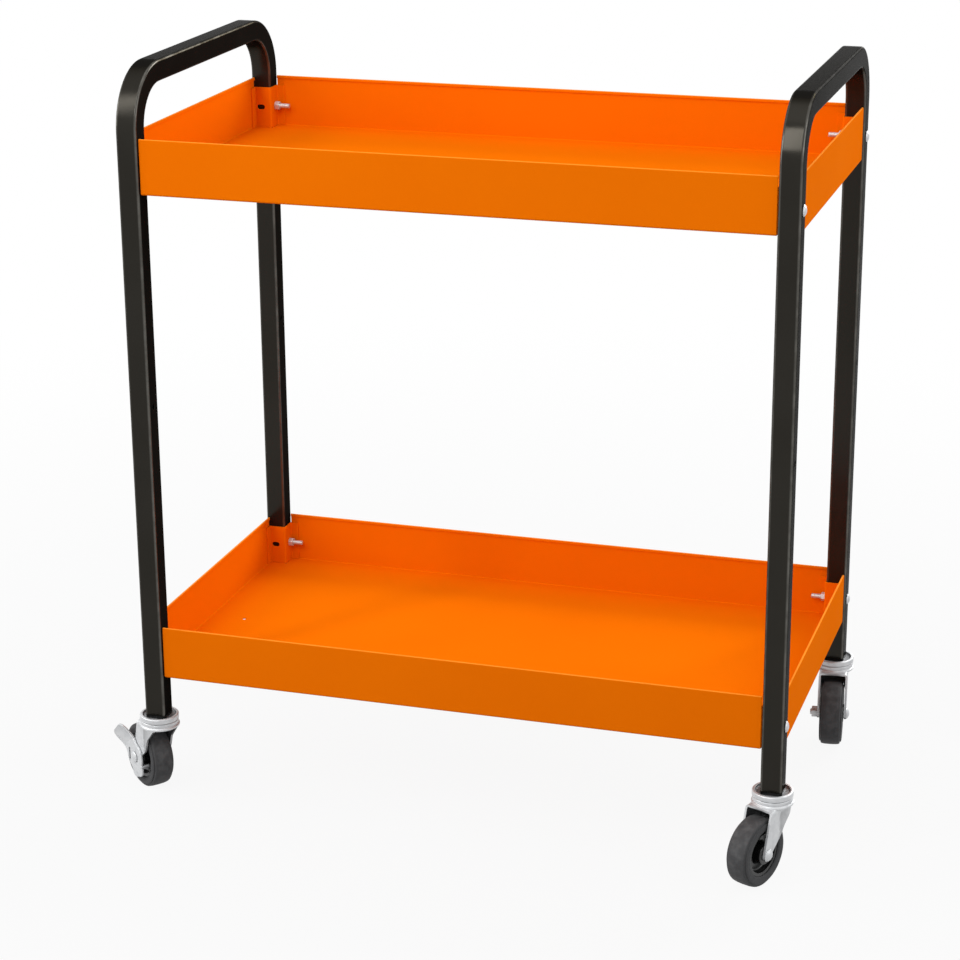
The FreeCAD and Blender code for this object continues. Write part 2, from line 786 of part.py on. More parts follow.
def build_caster(corner):
    """All pieces of one caster at its heading under a post."""
    x_sign, y_sign = CORNERS[corner]
    heading = f"{corner}_heading"
    turn = value(heading)
    swivel_x = f"{x_sign} * post_x"
    swivel_y = f"{y_sign} * post_y"
    wheel_x = f"{swivel_x} + trail * sin({heading})"
    wheel_y = f"{swivel_y} - trail * cos({heading})"
    label = f"{corner}_caster"
    braked = corner in BRAKED
    head = {
        "stem": build_stem(f"{label}_stem"),
        "cup": build_cup(f"{label}_cup"),
        "fork": build_fork(f"{label}_fork", braked),
    }
    for piece, body in head.items():
        put(keep(body, f"{label}_{piece}"), swivel_x, swivel_y, turn=turn)
    balls = group(f"{label}_balls", build_balls(label))
    put(balls, swivel_x, swivel_y, turn=turn)
    lever_room = "2 * lever_gap + lever_gauge" if braked else "0"
    pieces = {
        "tyre": build_tyre(f"{corner}_tyre"),
        "wheel_core": build_wheel_core(f"{corner}_wheel_core"),
        "axle_sleeve": build_sleeve(f"{corner}_axle_sleeve"),
        "axle_bolt": build_axle_bolt(f"{corner}_axle_bolt", lever_room),
    }
    if braked:
        pieces["brake_lever"] = build_brake_lever(f"{corner}_brake_lever")
    for piece, body in pieces.items():
        put(keep(body, f"{corner}_{piece}"), wheel_x, wheel_y, "axle_level", turn)
    nut = build_nut(f"{corner}_axle_nut", "axle_nut_flats", "axle_nut_height",
                    "axle_radius + thread_clearance")
    nut_reach = "(fork_outside / 2 + axle_nut_height)"
    put(keep(nut, f"{corner}_axle_nut"), f"{wheel_x} - {nut_reach} * cos({heading})",
        f"{wheel_y} - {nut_reach} * sin({heading})", "axle_level", turn)


build_end_frame("left", -1)
build_end_frame("right", 1)
build_tray("upper_tray", "upper_level")
build_tray("lower_tray", "lower_level")
brackets = four_corners(build_corner_bracket())
bolts = four_corners(build_tray_bolt())
tray_nut = build_nut("tray_nut", "nut_flats", "nut_height", "bolt_radius + thread_clearance")
bind(tray_nut, "Placement.Base.x", "-inner_x + bracket_gauge")
bind(tray_nut, "Placement.Base.y", "-post_y")
bind(tray_nut, "Placement.Base.z", "bolt_height")
nuts = four_corners(tray_nut)
for tray in ("upper", "lower"):
    group(f"{tray}_corner_brackets", brackets, z=f"{tray}_level")
    group(f"{tray}_tray_bolts", bolts, z=f"{tray}_level")
    group(f"{tray}_tray_nuts", nuts, z=f"{tray}_level")
group("tube_inserts", four_corners(build_tube_insert()))
for corner in CORNERS:
    build_caster(corner)
doc.recompute()

# The origin is brought under the middle of the whole cart, whichever way its casters point.
box = Part.makeCompound([node.Shape for node in nodes]).optimalBoundingBox()
sheet.set(sheet.getCellFromAlias("plan_shift_x"), str(round(-box.Center.x, 3)))
sheet.set(sheet.getCellFromAlias("plan_shift_y"), str(round(-box.Center.y, 3)))
doc.recompute()

for item in doc.Objects:
    faults = [word for word in item.State if word in ("Invalid", "Error")]
    if faults:
        raise RuntimeError(f"{item.Label}: {faults}")
os.makedirs("parts", exist_ok=True)
for node in nodes:
    if node.Shape.isNull() or not node.Shape.isValid():
        raise RuntimeError(f"{node.Label}: bad shape")
    node.Shape.exportStep(f"parts/{node.Label}.step")
    print(f"{node.Label}: {len(node.Shape.Solids)} solids, {node.Shape.Volume:.0f} mm3")
box = Part.makeCompound([node.Shape for node in nodes]).optimalBoundingBox()
print(f"{len(nodes)} parts, {box.XLength:.2f} x {box.YLength:.2f} x {box.ZLength:.2f} mm")
print(f"plan shift {value('plan_shift_x'):.3f}, {value('plan_shift_y'):.3f}")
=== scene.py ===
import json
import math

import bmesh
import bpy
from mathutils import Matrix, Vector


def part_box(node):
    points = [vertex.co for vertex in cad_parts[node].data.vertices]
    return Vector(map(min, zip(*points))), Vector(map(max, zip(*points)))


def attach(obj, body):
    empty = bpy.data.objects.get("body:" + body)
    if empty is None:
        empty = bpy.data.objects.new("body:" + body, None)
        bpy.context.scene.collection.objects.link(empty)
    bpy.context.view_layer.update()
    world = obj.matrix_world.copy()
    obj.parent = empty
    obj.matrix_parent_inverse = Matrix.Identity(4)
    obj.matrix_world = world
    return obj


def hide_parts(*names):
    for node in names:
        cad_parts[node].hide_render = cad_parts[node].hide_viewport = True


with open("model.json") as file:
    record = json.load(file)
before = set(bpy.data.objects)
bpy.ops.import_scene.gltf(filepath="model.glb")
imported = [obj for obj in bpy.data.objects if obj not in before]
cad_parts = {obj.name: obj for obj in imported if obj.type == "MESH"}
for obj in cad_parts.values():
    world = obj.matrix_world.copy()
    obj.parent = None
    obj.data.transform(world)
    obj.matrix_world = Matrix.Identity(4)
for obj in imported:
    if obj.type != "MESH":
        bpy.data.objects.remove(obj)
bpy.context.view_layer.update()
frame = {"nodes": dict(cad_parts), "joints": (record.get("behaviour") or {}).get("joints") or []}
scene = bpy.context.scene
scene.view_settings.view_transform = "Standard"

# Pieces are drawn in millimetres about the middle of the four posts, then set into the frame.
mm = 0.001
leftLow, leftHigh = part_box("left_end_frame")
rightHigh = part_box("right_end_frame")[1]
cartMiddle = Vector(((leftLow.x + rightHigh.x) / 2, (leftLow.y + leftHigh.y) / 2, 0))
cartPlace = Matrix.Translation(cartMiddle) @ Matrix.Scale(mm, 4)
cartLength = (rightHigh.x - leftLow.x) / mm
cartDepth = (leftHigh.y - leftLow.y) / mm
postFoot = leftLow.z / mm
handleTop = leftHigh.z / mm
joints = {joint["name"]: joint for joint in frame["joints"]}
holeSteps = 32  # sides of a round hole
threadGap = 0.05  # between a nut and its thread


class Link:  # a node socket that can be used in sums, and a way to add nodes to its tree
    def __init__(self, tree, socket):
        self.tree = tree
        self.socket = socket

    def node(self, kind, settings, sockets, out=0):
        made = self.tree.nodes.new(kind)
        for name, value in settings.items():
            setattr(made, name, value)
        for name, value in sockets.items():
            for item in value if isinstance(value, list) else [value]:
                if isinstance(item, Link):
                    self.tree.links.new(item.socket, made.inputs[name])
                else:
                    made.inputs[name].default_value = item
        return Link(self.tree, made.outputs[out])

    def maths(self, operation, first, second):
        return self.node("ShaderNodeMath", {"operation": operation}, {0: first, 1: second})

    def __add__(self, other):
        return self.maths("ADD", self, other)

    def __radd__(self, other):
        return self.maths("ADD", other, self)

    def __sub__(self, other):
        return self.maths("SUBTRACT", self, other)

    def __rsub__(self, other):
        return self.maths("SUBTRACT", other, self)

    def __mul__(self, other):
        return self.maths("MULTIPLY", self, other)

    def __gt__(self, other):
        return self.maths("GREATER_THAN", self, other)

    def span(self, low, high):  # 0 at low, 1 at high, smooth between
        return self.node("ShaderNodeMapRange", {"interpolation_type": "SMOOTHSTEP"},
                         {"Value": self, "From Min": low, "From Max": high})

    def mix(self, low, high):  # a colour between two, by this value
        return self.node("ShaderNodeMix", {"data_type": "RGBA"}, {0: self, 6: low, 7: high}, out=2)

    def noise(self, scale, detail, distortion=0.0):
        return self.node("ShaderNodeTexNoise", {}, {
            "Vector": self, "Scale": scale, "Detail": detail, "Distortion": distortion})


def shown(red, green, blue):  # a colour as a screen shows it, 0 to 255, for a shader
    linear = [(part / 255 / 12.92) if part < 11 else ((part / 255 + 0.055) / 1.055) ** 2.4
              for part in (red, green, blue)]
    return (*linear, 1)


def startFinish(name):
    material = bpy.data.materials.new(name)
    material.use_nodes = True
    tree = material.node_tree
    place = Link(tree, tree.nodes.new("ShaderNodeTexCoord").outputs["Object"])
    return material, tree.nodes["Principled BSDF"], place


def feed(shader, values):
    for name, value in values.items():
        if isinstance(value, Link):
            value.tree.links.new(value.socket, shader.inputs[name])
        else:
            shader.inputs[name].default_value = value


def grain(place, height, strength, depth):
    return place.node("ShaderNodeBump", {}, {"Strength": strength, "Distance": depth, "Height": height})


def edgeMask(place):
    return place.node("ShaderNodeAttribute", {"attribute_name": "edge"}, {}, out="Fac")


# Finishes, one for each material slot of the record.
blackCoat = {
    "base": shown(44, 42, 38), "worn": shown(104, 102, 97), "roughness": 0.18, "specular": 0.001,
    "metallic": 0.72, "grazing": (0.18, 0.18, 0.18, 1),
    "peelScale": 520, "peelDepth": 0.00022, "patchScale": 9, "dustScale": 2400, "wearScale": 60,
}


def makeBlackCoat(look):
    material, shader, place = startFinish("satinBlackCoat")
    patches = place.noise(look["patchScale"], 4).span(0.35, 0.7)
    peel = place.noise(look["peelScale"], 2)
    dust = place.noise(look["dustScale"], 1).span(0.62, 0.8)
    wear = place.noise(look["wearScale"], 4).span(0.3, 0.75)
    # worn edge and painted highlight: the marked tube corners are lightened to a pale grey line
    rubbedAndHighlit = edgeMask(place) * (0.45 + wear * 0.45)
    feed(shader, {
        "Base Color": (rubbedAndHighlit + patches * 0.03 + dust * 0.03).mix(look["base"], look["worn"]),
        "Roughness": look["roughness"] + patches * 0.08 - rubbedAndHighlit * 0.06,
        "Metallic": look["metallic"],
        "Specular IOR Level": look["specular"],
        "Specular Tint": look["grazing"],
        "Normal": grain(place, peel, 0.12, look["peelDepth"]),
    })
    return material


orangeCoat = {
    "base": shown(231, 110, 3), "deep": shown(224, 101, 2), "edge": shown(246, 148, 50),
    "roughness": 0.5, "specular": 0.0004, "peelScale": 430, "peelDepth": 0.00025, "patchScale": 5,
    "fleckScale": 1900, "wearScale": 40,
}


def makeOrangeCoat(look):
    material, shader, place = startFinish("orangeCoat")
    patches = place.noise(look["patchScale"], 3).span(0.3, 0.75)
    peel = place.noise(look["peelScale"], 2)
    flecks = place.noise(look["fleckScale"], 1).span(0.6, 0.8)
    body = (patches * 0.35 + flecks * 0.12).mix(look["base"], look["deep"])
    # wear and painted highlight: the marked rim is lightened towards a pale orange line
    wearAndRimHighlight = edgeMask(place) * (0.55 + place.noise(look["wearScale"], 3) * 0.5)
    feed(shader, {
        "Base Color": wearAndRimHighlight.mix(body, look["edge"]),
        "Roughness": look["roughness"] + patches * 0.07 - peel * 0.05,
        "Specular IOR Level": look["specular"],
        "Normal": grain(place, peel, 0.1, look["peelDepth"]),
    })
    return material


zincPlate = {
    "base": shown(210, 211, 212), "stain": shown(172, 174, 176), "soil": shown(36, 36, 37),
    "roughness": 0.34, "metallic": 0.45, "spangleScale": 130, "brushScale": 900, "brushDepth": 0.00006,
    "hazeScale": 34,
}


def makeZincPlate(look):
    material, shader, place = startFinish("brightZinc")
    spangle = place.noise(look["spangleScale"], 4, 0.6).span(0.3, 0.72)
    haze = place.noise(look["hazeScale"], 3).span(0.35, 0.8)
    brushed = place.noise(look["brushScale"], 3)
    bright = (spangle * 0.3 + haze * 0.3).mix(look["base"], look["stain"])
    # painted shade: the marked dish and fork insides are darkened towards near black
    soiled = edgeMask(place) * (0.8 + haze * 0.2)
    feed(shader, {
        "Base Color": soiled.mix(bright, look["soil"]),
        "Metallic": look["metallic"],
        "Roughness": look["roughness"] + spangle * 0.1 + haze * 0.07 + soiled * 0.15,
        "Normal": grain(place, brushed, 0.2, look["brushDepth"]),
    })
    return material


greyRubber = {
    "base": shown(58, 58, 59), "dusty": shown(94, 94, 94), "roughness": 0.58, "specular": 0.2,
    "mottleScale": 70, "grainScale": 1500, "grainDepth": 0.0002, "scuffScale": 120,
}


def makeGreyRubber(look):
    material, shader, place = startFinish("greyRubber")
    mottle = place.noise(look["mottleScale"], 5).span(0.3, 0.75)
    fine = place.noise(look["grainScale"], 2)
    scuff = edgeMask(place) * place.noise(look["scuffScale"], 4).span(0.35, 0.7)
    feed(shader, {
        "Base Color": (mottle * 0.22 + scuff * 0.45).mix(look["base"], look["dusty"]),
        "Roughness": look["roughness"] + mottle * 0.12 + scuff * 0.1,
        "Specular IOR Level": look["specular"],
        "Normal": grain(place, fine, 0.18, look["grainDepth"]),
    })
    return material


blackPlastic = {
    "base": shown(13, 13, 13), "scuffed": shown(38, 38, 38), "roughness": 0.22, "specular": 0.45,
    "mottleScale": 140, "grainScale": 1100, "grainDepth": 0.00012,
}


def makeBlackPlastic(look):
    material, shader, place = startFinish("mouldedBlackPlastic")
    mottle = place.noise(look["mottleScale"], 4).span(0.4, 0.8)
    fine = place.noise(look["grainScale"], 2)
    feed(shader, {
        "Base Color": (mottle * 0.25).mix(look["base"], look["scuffed"]),
        "Roughness": look["roughness"] + mottle * 0.15,
        "Specular IOR Level": look["specular"],
        "Normal": grain(place, fine, 0.12, look["grainDepth"]),
    })
    return material


finishes = {
    "frame_black": makeBlackCoat(blackCoat),
    "tray_orange": makeOrangeCoat(orangeCoat),
    "zinc_plate": makeZincPlate(zincPlate),
    "grey_rubber": makeGreyRubber(greyRubber),
    "black_plastic": makeBlackPlastic(blackPlastic),
}
print("finishes:", ", ".join(material.name for material in finishes.values()))


def arcCorners(points, radius, steps=4, closed=True):  # turns the corners of a path into arcs
    made = []
    count = len(points)
    for i, point in enumerate(points):
        here = Vector(point)
        reach = radius[i] if isinstance(radius, list) else radius
        if reach == 0 or not closed and i in (0, count - 1):
            made.append(here)
            continue
        back = Vector(points[i - 1]) - here
        onward = Vector(points[(i + 1) % count]) - here
        half = back.angle(onward) / 2
        run = min(reach / math.tan(half), 0.49 * back.length, 0.49 * onward.length)
        inward = (back.normalized() + onward.normalized()).normalized()
        centre = here + inward * (run / math.cos(half))
        first = here + back.normalized() * run - centre
        last = here + onward.normalized() * run - centre
        sweep = math.pi - 2 * half
        for k in range(steps + 1):
            share = k / steps
            lean = first * math.sin((1 - share) * sweep) + last * math.sin(share * sweep)
            made.append(centre + lean / math.sin(sweep))
    return made


def turned(profileAt, steps):  # a closed or capped profile of (radius, height), turned about Z
    bm = bmesh.new()
    columns = []
    poles = {}
    for k in range(steps):
        angle = 2 * math.pi * k / steps
        column = []
        for i, (radius, height) in enumerate(profileAt(angle)):
            if radius < 1e-6:
                if i not in poles:
                    poles[i] = bm.verts.new((0, 0, height))
                column.append(poles[i])
            else:
                x, y = radius * math.cos(angle), radius * math.sin(angle)
                column.append(bm.verts.new((x, y, height)))
        columns.append(column)
    rows = len(columns[0])
    for k in range(steps):
        here, after = columns[k], columns[(k + 1) % steps]
        for i in range(rows):
            j = (i + 1) % rows
            corners = []
            for vert in (here[i], here[j], after[j], after[i]):
                if vert not in corners:
                    corners.append(vert)
            if len(corners) > 2:
                bm.faces.new(corners)
    bmesh.ops.recalc_face_normals(bm, faces=bm.faces)
    return bm


def turnedRound(profile, radius, arcSteps=5):  # one profile all round, with its corners as arcs
    points = arcCorners(profile, radius, arcSteps)
    return turned(lambda angle: points, 96)


def asMesh(bm, name):
    mesh = bpy.data.meshes.new(name)
    bm.to_mesh(mesh)
    bm.free()
    return mesh


def marked(mesh, amountAt):  # stores an amount from 0 to 1 at each point, for the finish to read
    mark = mesh.attributes.new("edge", "FLOAT", "POINT")
    for i, vert in enumerate(mesh.vertices):
        mark.data[i].value = min(max(amountAt(vert.co, vert.normal), 0.0), 1.0)
    return mesh


def alongX(mesh):  # from an axis along Z to one along X
    mesh.transform(Matrix.Rotation(math.pi / 2, 4, "Y"))
    return mesh


def settled(mesh, addModifiers):  # the mesh after its modifiers
    holder = bpy.data.objects.new("holder", mesh)
    scene.collection.objects.link(holder)
    addModifiers(holder)
    view = bpy.context.evaluated_depsgraph_get()
    made = bpy.data.meshes.new_from_object(holder.evaluated_get(view), depsgraph=view)
    bpy.data.objects.remove(holder)
    return made


def addBevel(holder, width, segments=2):
    bevel = holder.modifiers.new("softEdges", "BEVEL")
    bevel.width = width
    bevel.segments = segments
    bevel.limit_method = "ANGLE"
    bevel.angle_limit = math.radians(40)  # gentler folds stay as they are


def thickened(bm, name, gauge, bevel):  # a sheet drawn at mid gauge gets its thickness and soft edges
    bmesh.ops.remove_doubles(bm, verts=bm.verts, dist=0.01)
    bmesh.ops.recalc_face_normals(bm, faces=bm.faces)

    def addModifiers(holder):
        solid = holder.modifiers.new("gauge", "SOLIDIFY")
        solid.thickness = gauge
        solid.offset = 0
        solid.use_even_offset = True
        addBevel(holder, bevel)
    return settled(asMesh(bm, name), addModifiers)


def cutWith(mesh, cutters):  # takes the cutters out of a closed mesh
    tools = [bpy.data.objects.new("cutter", cutter) for cutter in cutters]

    def addModifiers(holder):
        for tool in tools:
            scene.collection.objects.link(tool)
            cut = holder.modifiers.new("cut", "BOOLEAN")
            cut.operation = "DIFFERENCE"
            cut.solver = "EXACT"
            cut.object = tool
    made = settled(mesh, addModifiers)
    for tool in tools:
        bpy.data.objects.remove(tool)
    return made


def joined(meshes, name):
    bm = bmesh.new()
    for mesh in meshes:
        bm.from_mesh(mesh)
    return asMesh(bm, name)


def holedCell(bm, corners, hole):  # a flat cell round a hole, both given anticlockwise
    outer = [bm.verts.new(corner) for corner in corners]
    inner = [bm.verts.new(point) for point in hole]
    count = len(inner)
    starts = [min(range(count), key=lambda i: (inner[i].co - vert.co).length) for vert in outer]
    for k in range(len(outer)):
        first, last = starts[k], starts[(k + 1) % len(outer)]
        run = [inner[(first + i) % count] for i in range((last - first) % count + 1)]
        bm.faces.new([outer[k], outer[(k + 1) % len(outer)]] + run[::-1])


def addPiece(name, mesh, finish, body, nodes, place):
    mesh.transform(place)
    mesh.name = name
    mesh.materials.clear()
    mesh.materials.append(finishes[finish])
    mesh.shade_smooth()
    piece = bpy.data.objects.new(name, mesh)
    scene.collection.objects.link(piece)
    even = piece.modifiers.new("evenNormals", "WEIGHTED_NORMAL")
    even.keep_sharp = True
    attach(piece, body)
    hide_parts(*nodes)


def startTree(name, inputs):
    tree = bpy.data.node_groups.new(name, "GeometryNodeTree")
    tree.interface.new_socket("Geometry", in_out="OUTPUT", socket_type="NodeSocketGeometry")
    keys = {}
    for label, kind in inputs.items():
        socket = tree.interface.new_socket(label, in_out="INPUT", socket_type="NodeSocket" + kind)
        keys[label] = socket.identifier
    source = tree.nodes.new("NodeGroupInput")
    return tree, keys, {label: Link(tree, source.outputs[label]) for label in inputs}


def closeTree(tree, geometry, finish):
    whole = geometry.node("GeometryNodeRealizeInstances", {}, {"Geometry": geometry})
    coated = whole.node("GeometryNodeSetMaterial", {}, {
        "Geometry": whole, "Material": finishes[finish]})
    end = tree.nodes.new("NodeGroupOutput")
    tree.links.new(coated.socket, end.inputs["Geometry"])


def runTree(tree, keys, values):
    def addModifiers(holder):
        grow = holder.modifiers.new("grow", "NODES")
        grow.node_group = tree
        for label, value in values.items():
            grow[keys[label]] = value
    return settled(bpy.data.meshes.new("empty"), addModifiers)


# End frames: a square tube bent into a U, with a bolt hole at mid height in each post.
endFrame = {
    "tubeSize": 25.0, "tubeCorner": 3.0, "tubeWall": 1.5, "bend": 60.0, "bendSteps": 18,
    "holeDiameter": 6.5, "holeLevel": 492, "softEdge": 0.4,
}


def bentTubeTree():
    tree, keys, given = startTree("bentTube", {
        "Half Width": "Float", "Foot": "Float", "Top": "Float", "Bend": "Float", "Bend Steps": "Int",
        "Size": "Float", "Corner": "Float", "Wall": "Float"})
    start = given["Size"]
    count = start.node("GeometryNodeInputIndex", {}, {})
    acrossPost = (count > 1.5) * 2.0 - 1.0
    isTop = (count > 0.5) * (1.0 - (count > 2.5))
    spot = start.node("ShaderNodeCombineXYZ", {}, {
        "Y": acrossPost * given["Half Width"],
        "Z": given["Foot"] + isTop * (given["Top"] - given["Foot"])})
    stakes = start.node("GeometryNodeMeshLine", {"mode": "OFFSET"}, {"Count": 4, "Offset": (0, 0, 0)})
    stakes = start.node("GeometryNodeSetPosition", {}, {"Geometry": stakes, "Position": spot})
    route = start.node("GeometryNodeMeshToCurve", {}, {"Mesh": stakes})
    route = start.node("GeometryNodeFilletCurve", {"mode": "POLY"}, {
        "Curve": route, "Count": given["Bend Steps"], "Radius": given["Bend"]})

    def wall(size, corner):
        outline = start.node("GeometryNodeCurvePrimitiveQuadrilateral", {"mode": "RECTANGLE"},
                             {"Width": size, "Height": size})
        outline = start.node("GeometryNodeFilletCurve", {"mode": "POLY"},
                             {"Curve": outline, "Count": 6, "Radius": corner})
        where = start.node("GeometryNodeInputPosition", {}, {})
        parts = start.node("ShaderNodeSeparateXYZ", {}, {"Vector": where})
        second = Link(tree, parts.socket.node.outputs[1])
        spread = start.maths("ABSOLUTE", parts, 0.0) + start.maths("ABSOLUTE", second, 0.0)
        ridge = (spread - size * 0.885) * 0.9  # below 0 on the flats, 1 at the middle of a corner
        # the mark gives the black coat its worn edges and painted highlight lines at the corners
        stored = {"data_type": "FLOAT", "domain": "POINT"}
        outline = start.node("GeometryNodeStoreNamedAttribute", stored, {
            "Geometry": outline, "Name": "edge", "Value": start.maths("MAXIMUM", ridge, 0.0)})
        return start.node("GeometryNodeCurveToMesh", {}, {"Curve": route, "Profile Curve": outline})

    outside = wall(given["Size"], given["Corner"])
    inside = wall(given["Size"] - given["Wall"] * 2.0, given["Corner"] - given["Wall"])
    inside = start.node("GeometryNodeFlipFaces", {}, {"Mesh": inside})
    both = start.node("GeometryNodeJoinGeometry", {}, {"Geometry": [outside, inside]})
    closeTree(tree, both, "frame_black")
    return tree, keys


def buildEndFrames(look):
    tree, keys = bentTubeTree()
    half = look["tubeSize"] / 2
    postAt = cartDepth / 2 - half
    tube = runTree(tree, keys, {
        "Half Width": postAt, "Foot": postFoot, "Top": handleTop - half, "Bend": look["bend"],
        "Bend Steps": look["bendSteps"], "Size": look["tubeSize"], "Corner": look["tubeCorner"],
        "Wall": look["tubeWall"]})
    bm = bmesh.new()
    bm.from_mesh(tube)
    bmesh.ops.remove_doubles(bm, verts=bm.verts, dist=0.001)
    for side in (-1, 1):  # the rim at the foot of each post
        rim = [edge for edge in bm.edges if edge.is_boundary and edge.verts[0].co.y * side > 0]
        bmesh.ops.bridge_loops(bm, edges=rim)
    bmesh.ops.recalc_face_normals(bm, faces=bm.faces)
    tube = asMesh(bm, "tube")
    radius = look["holeDiameter"] / 2
    reach = 1.6 * look["tubeSize"]
    rod = [(0, -reach), (radius, -reach), (radius, reach), (0, reach)]
    drills = []
    for side in (-1, 1):
        drill = alongX(asMesh(turned(lambda angle: rod, holeSteps), "drill"))
        drill.transform(Matrix.Translation((0, side * postAt, look["holeLevel"])))
        drills.append(drill)
    tube = cutWith(tube, drills)
    tube = settled(tube, lambda holder: addBevel(holder, look["softEdge"]))
    for side, name in ((-1, "left"), (1, "right")):
        place = cartPlace @ Matrix.Translation((side * (cartLength / 2 - half), 0, 0))
        addPiece(name + "EndFrame", tube.copy(), "frame_black", "frame", [name + "_end_frame"], place)


buildEndFrames(endFrame)
print("end frames: tube", endFrame["tubeSize"], "mm, bend", endFrame["bend"], "mm")

# Trays: one folded sheet each, with square notches for the posts and a hem along every wall.
traySheet = {
    "gauge": 1.2, "bend": 2.5, "softEdge": 0.3, "notchGap": 1.5,
    "hemWidth": 2.6, "hemDrop": 3.5, "hemRound": 0.9, "hemBand": 5.0, "brightRim": 0.7,
    "drainDiameter": 5.0, "drainFromEnd": 47.5, "drainToFront": 12.0,
}


def buildTray(look, name, node):
    low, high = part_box(node)
    low, high = (low - cartMiddle) / mm, (high - cartMiddle) / mm
    gauge = look["gauge"]
    height = high.z - low.z
    flapX = cartLength / 2 - endFrame["tubeSize"] - look["notchGap"]
    flapY = cartDepth / 2 - endFrame["tubeSize"] - look["notchGap"]
    drainX = look["drainFromEnd"] - cartLength / 2
    drainY = -look["drainToFront"]
    radius = look["drainDiameter"] / 2
    cell = 3 * radius  # half the width of the floor's cell round the drain
    across = [-flapX, drainX - cell, drainX + cell, 0, flapX]
    along = [-flapY, drainY - cell, drainY + cell, flapY]
    bm = bmesh.new()
    mid = gauge / 2
    for i in range(len(across) - 1):
        for j in range(len(along) - 1):
            x0, x1, y0, y1 = across[i], across[i + 1], along[j], along[j + 1]
            corners = [(x0, y0, mid), (x1, y0, mid), (x1, y1, mid), (x0, y1, mid)]
            if i == 1 and j == 1:  # the cell with the drain
                turns = [2 * math.pi * k / holeSteps for k in range(holeSteps)]
                around = [(radius * math.cos(turn), radius * math.sin(turn)) for turn in turns]
                holedCell(bm, corners, [(drainX + x, drainY + y, mid) for x, y in around])
            else:
                bm.faces.new([bm.verts.new(corner) for corner in corners])

    def section(start, face):  # from the floor, up the wall and round the hem, as (outwards, height)
        inside = face - gauge / 2
        hem = inside - look["hemWidth"] + gauge
        top = height - gauge / 2
        curl = look["hemRound"]
        corners = [(start, mid), (inside, mid), (inside, height - look["hemBand"]), (inside, top),
                   (hem, top), (hem, height - look["hemDrop"])]
        return arcCorners(corners, [0, look["bend"] - mid, 0, curl, curl, 0], 4, closed=False)

    walls = [((0, -1), across, flapY, high.y), ((0, 1), across, flapY, high.y),
             ((-1, 0), along, flapX, high.x), ((1, 0), along, flapX, high.x)]
    for (outX, outY), run, start, face in walls:
        rows = []
        for reach, level in section(start, face):
            spots = [(outX * reach + abs(outY) * step, outY * reach + abs(outX) * step) for step in run]
            rows.append([bm.verts.new((x, y, level)) for x, y in spots])
        for lower, upper in zip(rows, rows[1:]):
            for k in range(len(run) - 1):
                bm.faces.new((lower[k], lower[k + 1], upper[k + 1], upper[k]))
    # the top of the rim is marked for the orange coat's wear and painted highlight line
    rim = height - look["brightRim"]
    mesh = marked(thickened(bm, name, gauge, look["softEdge"]), lambda at, facing: at.z > rim)
    addPiece(name, mesh, "tray_orange", "frame", [node], cartPlace @ Matrix.Translation((0, 0, low.z)))
    return low.z


trayLevels = {name: buildTray(traySheet, name + "Tray", name + "_tray") for name in ("lower", "upper")}
print("trays at", {name: round(level) for name, level in trayLevels.items()})

# What sits at all four corners of both trays is placed by one tree.
cornerInputs = {
    "Part": "Object", "Twin": "Object", "Half Length": "Float", "Half Depth": "Float",
    "Lower Level": "Float", "Upper Level": "Float", "Most Spin": "Float", "Seed": "Int"}
spinSeed = 7  # for how far each bolt and nut is turned


def cornerTree(finish):
    tree, keys, given = startTree("eightCorners", cornerInputs)
    start = given["Half Length"]
    heaps = []
    for label, side in (("Part", -1.0), ("Twin", 1.0)):
        first = start.node("ShaderNodeCombineXYZ", {}, {
            "X": given["Half Length"] * -1.0, "Y": given["Half Depth"] * side})
        last = start.node("ShaderNodeCombineXYZ", {}, {
            "X": given["Half Length"], "Y": given["Half Depth"] * -side})
        pair = start.node("GeometryNodeMeshLine", {"mode": "END_POINTS"}, {
            "Count": 2, "Start Location": first, "Offset": last})
        layers = []
        for level in ("Lower Level", "Upper Level"):
            lift = start.node("ShaderNodeCombineXYZ", {}, {"Z": given[level]})
            moved = {"Geometry": pair, "Translation": lift}
            layers.append(start.node("GeometryNodeTransform", {}, moved))
        spots = start.node("GeometryNodeJoinGeometry", {}, {"Geometry": layers})
        where = start.node("GeometryNodeInputPosition", {}, {})
        atRight = start.node("ShaderNodeSeparateXYZ", {}, {"Vector": where}) > 0.0
        spin = start.node("FunctionNodeRandomValue", {"data_type": "FLOAT"}, {
            "Min": 0.0, "Max": given["Most Spin"], "Seed": given["Seed"]}, out=1)
        facing = start.node("ShaderNodeCombineXYZ", {}, {"X": spin, "Z": atRight * math.pi})
        shape = start.node("GeometryNodeObjectInfo", {}, {"Object": given[label]}, out="Geometry")
        heaps.append(start.node("GeometryNodeInstanceOnPoints", {}, {
            "Points": spots, "Instance": shape, "Rotation": facing}))
    closeTree(tree, start.node("GeometryNodeJoinGeometry", {}, {"Geometry": heaps}), finish)
    return tree, keys


def placeAtCorners(name, part, twin, halfLength, halfDepth, rise, finish, nodes, spin=0.0):
    tree, keys = cornerTree(finish)
    tools = [bpy.data.objects.new(name + "Shape", mesh) for mesh in (part, twin)]
    mesh = runTree(tree, keys, {
        "Part": tools[0], "Twin": tools[1], "Half Length": halfLength, "Half Depth": halfDepth,
        "Lower Level": trayLevels["lower"] + rise, "Upper Level": trayLevels["upper"] + rise,
        "Most Spin": spin, "Seed": spinSeed})
    for tool in tools:
        bpy.data.objects.remove(tool)
    addPiece(name, mesh, finish, "frame", nodes, cartPlace)


# Corner brackets: a folded strip round the inner faces of each post, with a slot and a bolt hole.
cornerBracket = {
    "gauge": 1.5, "flange": 10.0, "belowRim": 12.0, "bend": 1.4, "slotLength": 10.0, "slotWidth": 6.0,
    "boltDiameter": 6.5, "boltHeight": 27.0, "postGap": 0.5, "softEdge": 0.3,
}


